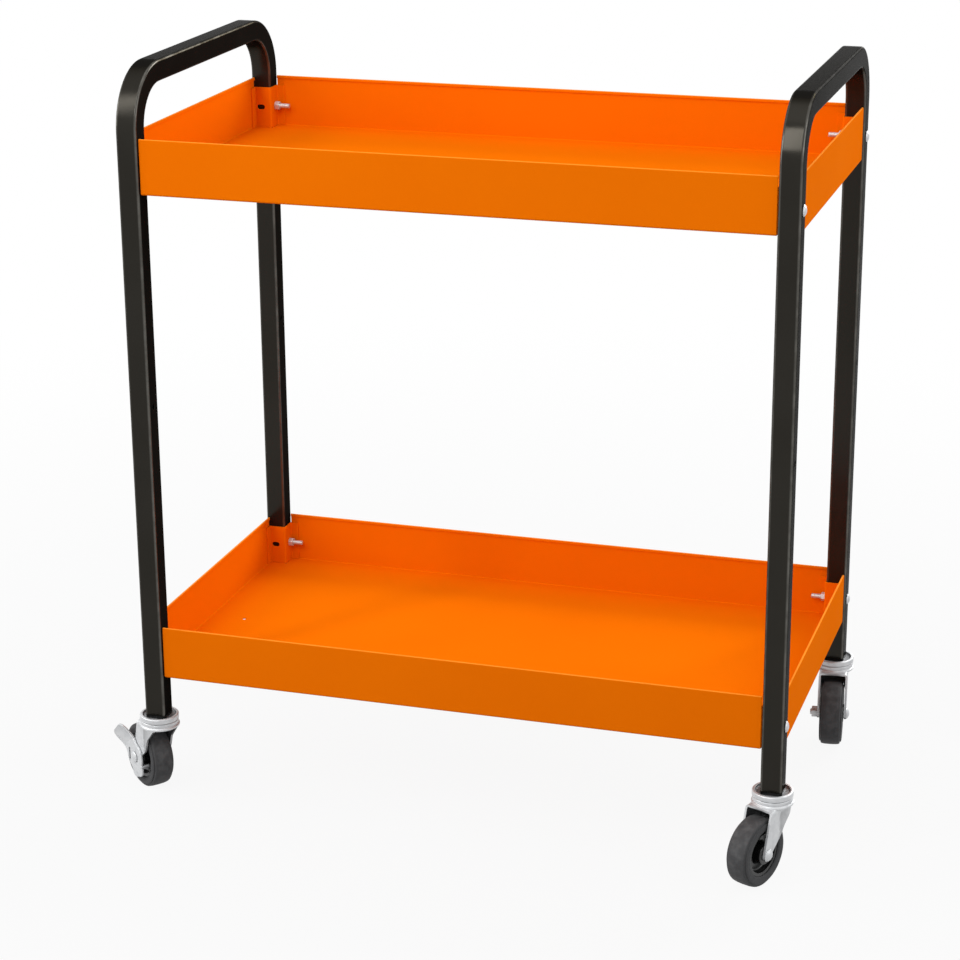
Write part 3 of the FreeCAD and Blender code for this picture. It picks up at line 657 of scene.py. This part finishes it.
def buildBrackets(look):
    half = endFrame["tubeSize"] / 2
    mid = look["gauge"] / 2
    trayLow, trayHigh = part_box("lower_tray")
    height = (trayHigh.z - trayLow.z) / mm - look["belowRim"]
    foot = traySheet["gauge"]
    # Walls and post as seen from the middle of the post.
    wallX = (trayLow.x - cartMiddle.x) / mm + cartLength / 2 - half + foot + mid
    wallY = (trayLow.y - cartMiddle.y) / mm + cartDepth / 2 - half + foot + mid
    postX, postY = half + mid, half + mid + look["postGap"]
    corners = [(postX + mid + look["flange"], wallY), (postX, wallY), (postX, postY), (wallX, postY),
               (wallX, postY + mid + look["flange"])]
    path = arcCorners(corners, look["bend"], 4, closed=False)
    bolt = look["boltHeight"]
    bm = bmesh.new()

    def stadium(length, width, count=8):
        run = (length - width) / 2
        turns = [math.pi * (k / count - 0.5) for k in range(count + 1)]
        right = [(run + width / 2 * math.cos(turn), width / 2 * math.sin(turn)) for turn in turns]
        return right + [(-x, -y) for x, y in right]

    slot = stadium(look["slotLength"], look["slotWidth"])
    bore = stadium(look["boltDiameter"], look["boltDiameter"])
    for here, after in zip(path, path[1:]):
        face = [(here.x, here.y, foot), (after.x, after.y, foot), (after.x, after.y, height),
                (here.x, here.y, height)]
        run = after - here
        hole = None
        if run.length > half:  # only the two faces on the post are that wide
            hole = [(postX, y, bolt + z) for y, z in bore]
            if abs(run.x) > abs(run.y):
                hole = [(-x, postY, bolt + z) for x, z in slot]
        if hole:
            holedCell(bm, face, hole)
        else:
            bm.faces.new([bm.verts.new(corner) for corner in face])
    part = thickened(bm, "bracket", look["gauge"], look["softEdge"])
    bm = bmesh.new()
    bm.from_mesh(part)
    bmesh.ops.scale(bm, vec=(1, -1, 1), verts=bm.verts)
    bmesh.ops.reverse_faces(bm, faces=bm.faces)
    twin = asMesh(bm, "bracketTwin")
    placeAtCorners("cornerBrackets", part, twin, cartLength / 2 - half, cartDepth / 2 - half, 0,
                   "tray_orange", ["lower_corner_brackets", "upper_corner_brackets"])


buildBrackets(cornerBracket)

# Tray bolts and nuts: a domed head on the outer face of the post, a nut and thread end inside the tray.
trayBolt = {
    "diameter": 6.0, "length": 45.0, "headDiameter": 13.0, "headHeight": 3.5, "threadLength": 16.0,
    "pitch": 1.0, "nutFlats": 10.0, "nutHeight": 6.0,
}


def threaded(radius, start, end, pitch):  # profile points of a thread, as (radius, place)
    root = radius - 0.32 * pitch
    points = []
    for k in range(int((end - start) / pitch)):
        points += [(root, start + k * pitch), (radius, start + (k + 0.35) * pitch),
                   (radius, start + (k + 0.65) * pitch)]
    return points + [(root, end - 0.4), (radius - 0.6 * pitch, end), (0, end)]


def domedBolt(radius, headRadius, headHeight, thread, end, pitch):  # along X, its head towards -X
    rim = 0.22 * headHeight
    bow = (headRadius ** 2 + (headHeight - rim) ** 2) / (2 * (headHeight - rim))
    chamfer, fillet, steps = 0.25, 0.3, 8
    dome = []
    for k in range(steps + 1):
        across = headRadius * k / steps
        dome.append((across, -headHeight + bow - math.sqrt(bow ** 2 - across ** 2)))
    profile = dome + [(headRadius, -chamfer), (headRadius - chamfer, 0)]
    profile += [(radius + fillet, 0), (radius, fillet)]
    profile += [(radius, end - thread - 0.5)] + threaded(radius, end - thread, end, pitch)
    return alongX(asMesh(turned(lambda angle: profile, 48), "bolt"))


def hexNut(flats, height, bore):  # along X from its own origin, with the corners turned off
    chamfer = 0.6

    def profileAt(angle):
        corner = (angle % (math.pi / 3)) - math.pi / 6
        reach = flats / 2 / math.cos(corner)
        face = flats * 0.475
        slope = (reach - face) * 0.55
        lower = [(bore, chamfer), (bore + chamfer, 0), (face, 0), (reach, slope)]
        return lower + [(radius, height - level) for radius, level in reversed(lower)]
    return alongX(asMesh(turned(profileAt, 72), "nut"))


def buildTrayBolts(look):
    radius = look["diameter"] / 2
    half = endFrame["tubeSize"] / 2
    bolt = domedBolt(radius, look["headDiameter"] / 2, look["headHeight"], look["threadLength"],
                     look["length"], look["pitch"])
    rise = cornerBracket["boltHeight"]
    postAt = cartDepth / 2 - half
    placeAtCorners("trayBolts", bolt, bolt.copy(), cartLength / 2, postAt, rise, "zinc_plate",
                   ["lower_tray_bolts", "upper_tray_bolts"], spin=math.pi)
    nut = hexNut(look["nutFlats"], look["nutHeight"], radius + threadGap)
    seat = cartLength / 2 - 2 * half - cornerBracket["gauge"]
    placeAtCorners("trayNuts", nut, nut.copy(), seat, postAt, rise, "zinc_plate",
                   ["lower_tray_nuts", "upper_tray_nuts"], spin=math.pi)


buildTrayBolts(trayBolt)
print("brackets, bolts and nuts at the corners of", len(trayLevels), "trays")

# Casters. Each is drawn with its swivel axis on Z and its wheel trailing towards -Y.
casterHead = {
    "radius": 23.5, "dishRadius": 19.0, "bore": 5.0, "gauge": 2.0,
    "cupLow": 98.5, "cupFloor": 102.5, "cupTop": 105.0,
}


def casterCup(look):  # the dished cover above the balls
    radius, dish, bore = look["radius"], look["dishRadius"], look["bore"]
    low, floor, top = look["cupLow"], look["cupFloor"], look["cupTop"]
    inside, under = radius - look["gauge"], floor - look["gauge"]
    profile = [
        (bore, under), (inside, under), (inside, low), (radius, low), (radius, top), (dish + 1.2, top),
        (dish, floor), (bore, floor)]
    softness = [0, 1.5, 0.4, 0.9, 2.2, 0.7, 1.6, 0]
    cup = asMesh(turnedRound(profile, softness, 6), "cup")
    # painted shade on the floor of the dish round the post
    shadedDishReach = dish + 1.4
    return marked(cup, lambda at, facing: min((shadedDishReach - math.hypot(at.x, at.y)) * 2, 0.75))


casterFork = {
    "outside": 36.0, "gauge": 2.5, "bend": 4.0, "softEdge": 0.45, "crownTop": 90.5,
    "axleLevel": 40.0, "trail": 31.0, "tip": 7.5, "backTop": -26.0, "leadTop": 16.5,
    "plainFront": [(13.0, 76.5)], "brakedFront": [(-2.0, 70.5), (-7.5, 54.0)], "frontRound": 9.0,
    "apronLow": 67.0, "apronLip": 2.2, "apronWrap": 4.0, "apronFade": 8.0,
    # on the next line, the last two values set how dark the painted shade past the crease is and how
    # far it fades out
    "creaseAt": -10.0, "creaseLean": 2.0, "creaseSoft": 1.5, "soiled": 0.5, "soilFade": 30.0,
    "domeRise": 1.6, "domeRadius": 28.0, "domeFade": 7.0,
    "ringTop": 98.0, "ringRadius": 23.0, "ringBore": 5.3,
    "trackInside": 13.9, "trackOutside": 20.1, "trackFloor": 94.2,
}


def placeOn(path, level):  # where a falling path of (across, level) has that level
    for upper, lower in zip(path, path[1:]):
        if lower[1] <= level <= upper[1] and upper[1] > lower[1]:
            share = (level - lower[1]) / (upper[1] - lower[1])
            return lower[0] + share * (upper[0] - lower[0])
    return path[0][0] if level > path[0][1] else path[-1][0]


def casterForkShape(look, braked):  # crown and legs from one sheet, with the lower ball race on top
    mid = look["gauge"] / 2
    halfWidth = look["outside"] / 2 - mid
    crown = look["crownTop"] - mid
    axle, trail, tip = look["axleLevel"], look["trail"], look["tip"]
    legFoot = axle - tip
    section = arcCorners(
        [(halfWidth, legFoot), (halfWidth, crown), (-halfWidth, crown), (-halfWidth, legFoot)],
        look["bend"] - mid, 6, closed=False)
    backEdge = [(look["backTop"], look["crownTop"]), (-trail - tip, axle)]
    front = look["brakedFront" if braked else "plainFront"]
    leadEdge = arcCorners([(look["leadTop"], look["crownTop"]), *front, (-trail + tip, axle)],
                          look["frontRound"], 8, closed=False)

    def reachAt(level):
        if level >= axle:
            return placeOn(backEdge, level), placeOn(leadEdge, level)
        half = math.sqrt(max(tip ** 2 - (axle - level) ** 2, 0.0))
        return -trail - half, -trail + half

    rowGap, crowding = 2.2, 1.35
    stations = []
    for here, after in zip(section, section[1:]):
        pieces = max(1, round((after - here).length / rowGap))
        if abs(after.x - here.x) < 0.01:  # closer together round the tip of the leg
            shares = [(k / pieces) ** crowding for k in range(pieces)]
            if after.y < here.y:
                shares = [1 - (1 - k / pieces) ** crowding for k in range(pieces)]
        else:
            shares = [k / pieces for k in range(pieces)]
        stations += [here.lerp(after, share) for share in shares]
    stations.append(section[-1])
    lean = math.tan(math.radians(look["creaseLean"]))
    wrap = look["apronWrap"]
    columns = 22
    bm = bmesh.new()
    rows = []
    for station in stations:
        back, lead = reachAt(station.y)
        curl = min(max((station.y - look["apronLow"]) / look["apronFade"] + 1, 0.0), 1.0)
        if braked:
            curl = 0.0
        row = []
        for k in range(columns + 1):
            y = back + (lead - back) * k / columns
            past = max(y - look["creaseAt"], 0.0)
            soft = past * past / (past + look["creaseSoft"])
            rounded = wrap - math.sqrt(wrap ** 2 - min(max(y - lead + wrap, 0.0), wrap) ** 2)
            x = station.x * (1 - (lean * soft + curl * rounded) / halfWidth)
            z = station.y
            if z > crown - 1.0:  # the crown rises under the race
                share = min(max((look["domeRadius"] - math.hypot(x, y)) / look["domeFade"], 0.0), 1.0)
                z += look["domeRise"] * share * share * (3 - 2 * share)
            row.append(bm.verts.new((x, y, z)))
        rows.append(row)
    for lower, upper in zip(rows, rows[1:]):
        for k in range(columns):
            bm.faces.new((lower[k], lower[k + 1], upper[k + 1], upper[k]))
    leads = [row[-1] for row in rows]
    hanging = [i for i in range(0 if braked else len(leads) // 2)
               if stations[i].y > look["apronLow"] and stations[i + 1].y > stations[i].y + 0.01]
    for i in hanging:  # the apron from leg to leg
        bm.faces.new((leads[i], leads[i + 1], leads[-i - 2], leads[-i - 1]))
    for i in hanging[:1]:  # and a short lip below it
        ends = [leads[i], leads[-i - 1]]
        lip = [bm.verts.new(end.co - Vector((0, 0, look["apronLip"]))) for end in ends]
        bm.faces.new((lip[0], ends[0], ends[1], lip[1]))
    sheet = thickened(bm, "forkSheet", look["gauge"], look["softEdge"])
    base, top = look["crownTop"] - 0.6, look["ringTop"]
    bore, ring = look["ringBore"], look["ringRadius"]
    inner, outer, track = look["trackInside"], look["trackOutside"], look["trackFloor"]
    profile = [
        (bore, base), (ring + 1.2, base), (ring + 1.2, base + 2.0), (ring - 0.6, base + 3.4),
        (ring, base + 4.6), (ring, top), (outer, top), (outer, track), (inner, track), (inner, top),
        (bore, top)]
    softness = [0, 0.5, 0.8, 1.6, 0.8, 2.0, 0.4, 1.5, 1.5, 0.4, 0]
    race = asMesh(turnedRound(profile, softness), "race")

    def paintedShadeAt(at, facing):  # painted shade: full on the inner faces, the inside of the apron and the undersides below the crown, and fading along each leg past the crease
        past = at.y - look["creaseAt"]
        inwards = facing.x * at.x < -0.3 * abs(at.x)
        backwards = past > 0 and facing.y < -0.5
        if at.z < crown and (inwards or backwards or facing.z < -0.5):
            return 1.0
        onLeg = abs(at.x) > look["outside"] / 4 and at.z < crown - look["bend"]
        return look["soiled"] * (1 - past / look["soilFade"]) if past > 0 and onLeg else 0.0
    return marked(joined([sheet, race], "fork"), paintedShadeAt)


casterTyre = {"radius": 40.0, "bore": 27.0, "width": 28.0, "shoulder": 11.2}


def tyreShape(look):  # along X: a nearly flat tread, a small groove, then the sidewall
    side = look["width"] / 2
    edge = look["radius"]
    half = [(look["bore"], side - 1.8), (look["bore"] + 1.6, side - 0.4), (edge - 6.0, side),
            (edge - 3.6, side - 0.6), (edge - 4.0, side - 1.7), (edge - 2.2, side - 2.2),
            (edge - 0.9, look["shoulder"]), (edge - 0.25, look["shoulder"] - 4.0)]
    softness = [0.5, 1.2, 3.0, 0.5, 0.4, 0.5, 1.6, 5.0]
    profile = half + [(edge, 0)] + [(radius, -place) for radius, place in reversed(half)]
    mesh = asMesh(turnedRound(profile, softness + [30.0] + softness[::-1]), "tyre")
    scuffed = edge - 1.6
    return alongX(marked(mesh, lambda at, facing: (math.hypot(at.x, at.y) - scuffed) / 1.2))


wheelCore = {
    "bore": 6.1, "hubRadius": 12.0, "hubWidth": 30.0, "web": 7.0, "rimInside": 23.0, "rimWidth": 23.0,
}


def coreShape(look):  # hub, web and rim in one moulding
    half = [(look["bore"], look["hubWidth"] / 2), (look["hubRadius"], look["hubWidth"] / 2),
            (look["hubRadius"] + 0.6, look["web"] / 2), (look["rimInside"] - 0.8, look["web"] / 2),
            (look["rimInside"], look["rimWidth"] / 2), (casterTyre["bore"], look["rimWidth"] / 2)]
    softness = [0.5, 1.2, 2.5, 2.5, 1.0, 0.4]
    profile = half + [(radius, -place) for radius, place in reversed(half)]
    return alongX(asMesh(turnedRound(profile, softness + softness[::-1]), "core"))


casterAxle = {
    "diameter": 8.0, "headDiameter": 14.0, "headHeight": 4.0, "threadLength": 10.0, "pitch": 1.25,
    "threadEnd": 2.0, "nutFlats": 13.0, "nutHeight": 7.0, "leverRoom": 3.5, "leverHeadHeight": 2.4,
}


def axleShape(look, braked):
    seat = casterFork["outside"] / 2 + (look["leverRoom"] if braked else 0)
    end = casterFork["outside"] / 2 + look["nutHeight"] + look["threadEnd"]
    headHeight = look["leverHeadHeight" if braked else "headHeight"]
    bolt = domedBolt(look["diameter"] / 2, look["headDiameter"] / 2, headHeight,
                     look["threadLength"], seat + end, look["pitch"])
    bolt.transform(Matrix.Translation((seat, 0, 0)) @ Matrix.Rotation(math.pi, 4, "Z"))
    return bolt


def axleNutShape(look):
    nut = hexNut(look["nutFlats"], look["nutHeight"], look["diameter"] / 2 + threadGap)
    nut.transform(Matrix.Translation((-casterFork["outside"] / 2 - look["nutHeight"], 0, 0)))
    return nut


# Brake lever: a pedal that leans outwards, a toe and a lock tab on one plate.
brakeLever = {
    "gauge": 2.5, "seat": 18.5, "hub": 18.0, "bore": 4.1, "round": 8.0, "blend": 24, "softEdge": 0.45,
    "pedalAngle": 133, "pedalReach": 43.0, "pedalWidth": 30.0,
    "pedalBend": 22.0, "pedalLean": 10.0, "bendLead": 1.5, "bendSoft": 3.0,
    "toeAngle": -70, "toeReach": 25.0, "toeWidth": 26.0,
    "slotAt": -13.0, "slotLength": 16.0, "slotWidth": 3.5,
    "lockAngle": -30, "lockRadius": 18.5, "lockWidth": 6.0, "lockReach": 8.0, "lockEdge": 0.6,
}


def armReach(turn, width, reach, corner):  # from the axle to the edge of a round-cornered arm
    if math.cos(turn) <= 0.01:
        return 0.01
    half = width / 2
    out = min(reach / math.cos(turn), half / max(abs(math.sin(turn)), 1e-6))
    along, across = out * math.cos(turn), out * abs(math.sin(turn))
    if along > reach - corner and across > half - corner:
        nearest = math.cos(turn) * (reach - corner) + abs(math.sin(turn)) * (half - corner)
        rest = (reach - corner) ** 2 + (half - corner) ** 2 - corner ** 2
        out = nearest + math.sqrt(max(nearest * nearest - rest, 0.0))
    return out


def leverShape(look):
    middle = look["seat"] + look["gauge"] / 2
    pedal, toe = math.radians(look["pedalAngle"]), math.radians(look["toeAngle"])
    steps, rings, blend = 144, 22, look["blend"]
    bm = bmesh.new()
    rows = []
    for k in range(steps):
        angle = 2 * math.pi * k / steps
        reaches = [
            look["hub"],
            armReach(angle - pedal, look["pedalWidth"], look["pedalReach"], look["round"]),
            armReach(angle - toe, look["toeWidth"], look["toeReach"], look["round"])]
        reach = sum(part ** blend for part in reaches) ** (1 / blend)  # about the largest of them
        row = []
        for j in range(rings + 1):
            out = look["bore"] + (reach - look["bore"]) * j / rings
            along = out * math.cos(angle - pedal) - look["pedalBend"]
            past = max(along + look["bendLead"], 0.0)
            past = past * past / (past + look["bendSoft"])
            lean = look["pedalLean"] * past / (look["pedalReach"] - look["pedalBend"])
            row.append(bm.verts.new((middle + lean, out * math.cos(angle), out * math.sin(angle))))
        rows.append(row)
    for k in range(steps):
        here, after = rows[k], rows[(k + 1) % steps]
        for j in range(rings):
            bm.faces.new((here[j], here[j + 1], after[j + 1], after[j]))
    plate = thickened(bm, "leverPlate", look["gauge"], look["softEdge"])

    def block(sizes, spot, turn):
        made = bmesh.new()
        bmesh.ops.create_cube(made, size=1)
        mesh = asMesh(made, "block")
        place = Matrix.Rotation(turn, 4, "X") @ Matrix.Translation(spot)
        mesh.transform(place @ Matrix.Diagonal((*sizes, 1)))
        return mesh

    through = 12.0  # past both faces of the plate
    slot = block((through, look["slotWidth"], look["slotLength"]), (middle, look["slotAt"], 0), 0)
    plate = cutWith(plate, [slot])
    depth = look["lockReach"] + look["gauge"]
    spot = (look["seat"] + look["gauge"] - depth / 2, look["lockRadius"], 0)
    tab = block((depth, look["gauge"], look["lockWidth"]), spot, math.radians(look["lockAngle"]))
    tab = settled(tab, lambda holder: addBevel(holder, look["lockEdge"], segments=3))
    return joined([plate, tab], "lever")


shapes = {
    "cup": casterCup(casterHead), "tyre": tyreShape(casterTyre), "core": coreShape(wheelCore),
    "axleNut": axleNutShape(casterAxle), "lever": leverShape(brakeLever),
    "plainFork": casterForkShape(casterFork, False), "brakedFork": casterForkShape(casterFork, True),
}


def buildCaster(corner):
    end, side = corner.split("_")
    name = end + side.capitalize()
    swivel = joints[corner + "_swivel_turn"]
    spin = joints[corner + "_wheel_spin"]
    braked = corner + "_brake_rock" in joints
    turn = math.atan2(spin["axis"][1], spin["axis"][0])
    heading = Matrix.Rotation(turn, 4, "Z") @ Matrix.Scale(mm, 4)
    headPlace = Matrix.Translation((swivel["pos_m"][0], swivel["pos_m"][1], 0)) @ heading
    wheelPlace = Matrix.Translation(spin["pos_m"]) @ heading
    swivelBody, wheelBody = corner + "_swivel", corner + "_wheel"

    def add(label, mesh, finish, body, node, place):
        addPiece(name + label, mesh, finish, body, [corner + "_" + node], place)

    fork = shapes["brakedFork" if braked else "plainFork"].copy()
    add("Cup", shapes["cup"].copy(), "zinc_plate", "frame", "caster_cup", headPlace)
    add("Fork", fork, "zinc_plate", swivelBody, "caster_fork", headPlace)
    add("Axle", axleShape(casterAxle, braked), "zinc_plate", swivelBody, "axle_bolt", wheelPlace)
    add("AxleNut", shapes["axleNut"].copy(), "zinc_plate", swivelBody, "axle_nut", wheelPlace)
    add("Tyre", shapes["tyre"].copy(), "grey_rubber", wheelBody, "tyre", wheelPlace)
    add("WheelCore", shapes["core"].copy(), "black_plastic", wheelBody, "wheel_core", wheelPlace)
    if braked:
        lever = shapes["lever"].copy()
        add("BrakeLever", lever, "zinc_plate", corner + "_brake", "brake_lever", wheelPlace)


corners = [name[:-len("_swivel_turn")] for name in joints if name.endswith("_swivel_turn")]
for corner in corners:
    buildCaster(corner)
print("casters:", ", ".join(corners))

# What stays as it was built: the parts inside the casters and the plastic ends of the posts.
for name, node in frame["nodes"].items():
    if not node.hide_render:
        finish = finishes["black_plastic" if name == "tube_inserts" else "zinc_plate"]
        for slot in node.material_slots:
            slot.material = finish

# Studio: a pale floor that fades into a white surround, and soft lamps above and all round.
studio = {
    "floorRadius": 7.0, "floorColour": 0.36, "floorWhite": 0.92, "fadeFrom": 0.5, "fadeTo": 2.2,
    "surround": (0.95, 0.97, 1.0, 1), "surroundLevel": 0.61,
}
lamps = {
    "overhead": {"at": (0, 0, 3.1), "aim": (0, 0, 0.4), "size": 1.8, "watts": 9},
    "frontStrip": {
        "at": (-0.18, -2.3, 2.8), "aim": (0, 0, 0.7), "size": 0.36, "tall": 2.0, "watts": 29},
    "leftStrip": {
        "at": (-1.75, -2.3, 2.8), "aim": (0, 0, 0.7), "size": 0.36, "tall": 2.0, "watts": 29},
    "left": {"at": (-2.6, -0.9, 1.5), "aim": (0, 0, 0.4), "size": 1.6, "watts": 36},
    "right": {"at": (2.7, -0.3, 1.7), "aim": (0, 0, 0.4), "size": 1.6, "watts": 20},
    "back": {"at": (1.2, 2.7, 1.7), "aim": (0, 0, 0.4), "size": 1.6, "watts": 74},
}


def seenDirectly(tree):  # 1 for rays from the camera, a reflection or a transmission
    path = tree.nodes.new("ShaderNodeLightPath")
    camera = Link(tree, path.outputs["Is Camera Ray"])
    glossy = Link(tree, path.outputs["Is Glossy Ray"])
    through = Link(tree, path.outputs["Is Transmission Ray"])
    return camera.maths("MAXIMUM", camera.maths("MAXIMUM", camera, glossy), through)


def buildStudio(look):
    bm = bmesh.new()
    bmesh.ops.create_circle(bm, cap_ends=True, segments=96, radius=look["floorRadius"])
    floor = bpy.data.objects.new("floor", asMesh(bm, "floor"))
    scene.collection.objects.link(floor)
    material = bpy.data.materials.new("paleFloor")
    material.use_nodes = True
    tree = material.node_tree
    tree.nodes.clear()
    end = tree.nodes.new("ShaderNodeOutputMaterial")
    seen = seenDirectly(tree)
    place = seen.node("ShaderNodeTexCoord", {}, {}, out="Object")
    away = seen.node("ShaderNodeVectorMath", {"operation": "LENGTH"}, {0: place}, out="Value")
    far = away.span(look["fadeFrom"], look["fadeTo"])
    shade = look["floorColour"]
    matt = seen.node("ShaderNodeBsdfDiffuse", {}, {"Color": (shade, shade, shade, 1)})
    white = seen.node("ShaderNodeEmission", {}, {"Color": (1, 1, 1, 1), "Strength": 1.0})
    share = look["floorWhite"] + far * (1 - look["floorWhite"])
    mixed = seen.node("ShaderNodeMixShader", {}, {0: seen * share, 1: matt, 2: white})
    tree.links.new(mixed.socket, end.inputs["Surface"])
    floor.data.materials.append(material)

    world = bpy.data.worlds.new("whiteRoom")
    scene.world = world
    world.use_nodes = True
    tree = world.node_tree
    tree.nodes.clear()
    end = tree.nodes.new("ShaderNodeOutputWorld")
    seen = seenDirectly(tree)
    dim = seen.node("ShaderNodeBackground", {}, {
        "Color": look["surround"], "Strength": look["surroundLevel"]})
    white = seen.node("ShaderNodeBackground", {}, {"Color": (1, 1, 1, 1), "Strength": 1.0})
    mixed = seen.node("ShaderNodeMixShader", {}, {0: seen, 1: dim, 2: white})
    tree.links.new(mixed.socket, end.inputs["Surface"])

    for name, lamp in lamps.items():
        light = bpy.data.lights.new(name, "AREA")
        light.shape = "RECTANGLE"
        light.size = lamp["size"]
        light.size_y = lamp.get("tall", lamp["size"])
        light.energy = lamp["watts"]
        holder = bpy.data.objects.new(name, light)
        holder.location = lamp["at"]
        beam = Vector(lamp["aim"]) - Vector(lamp["at"])
        holder.rotation_euler = beam.to_track_quat("-Z", "Y").to_euler()
        scene.collection.objects.link(holder)


buildStudio(studio)

# Camera at the photograph's angle: front right, a little above, framed for a square picture.
photoCamera = {
    "azimuth": 17.32, "elevation": 18.84, "roll": -0.389, "distance": 3.1385,
    "target": (-0.0080, -0.0028, 0.3676), "lens": 97.5, "sensor": 36,
}


def buildCamera(look):
    camera = bpy.data.cameras.new("photoCamera")
    camera.sensor_width = look["sensor"]
    camera.lens = look["lens"]
    turn, rise = math.radians(look["azimuth"]), math.radians(look["elevation"])
    back = Vector((math.sin(turn) * math.cos(rise), -math.cos(turn) * math.cos(rise), math.sin(rise)))
    holder = bpy.data.objects.new("photoCamera", camera)
    holder.location = Vector(look["target"]) + back * look["distance"]
    facing = (-back).to_track_quat("-Z", "Y").to_matrix()
    holder.rotation_euler = (facing @ Matrix.Rotation(math.radians(look["roll"]), 3, "Z")).to_euler()
    scene.collection.objects.link(holder)
    scene.camera = holder


buildCamera(photoCamera)
print("size written, lamps:", ", ".join(lamps))
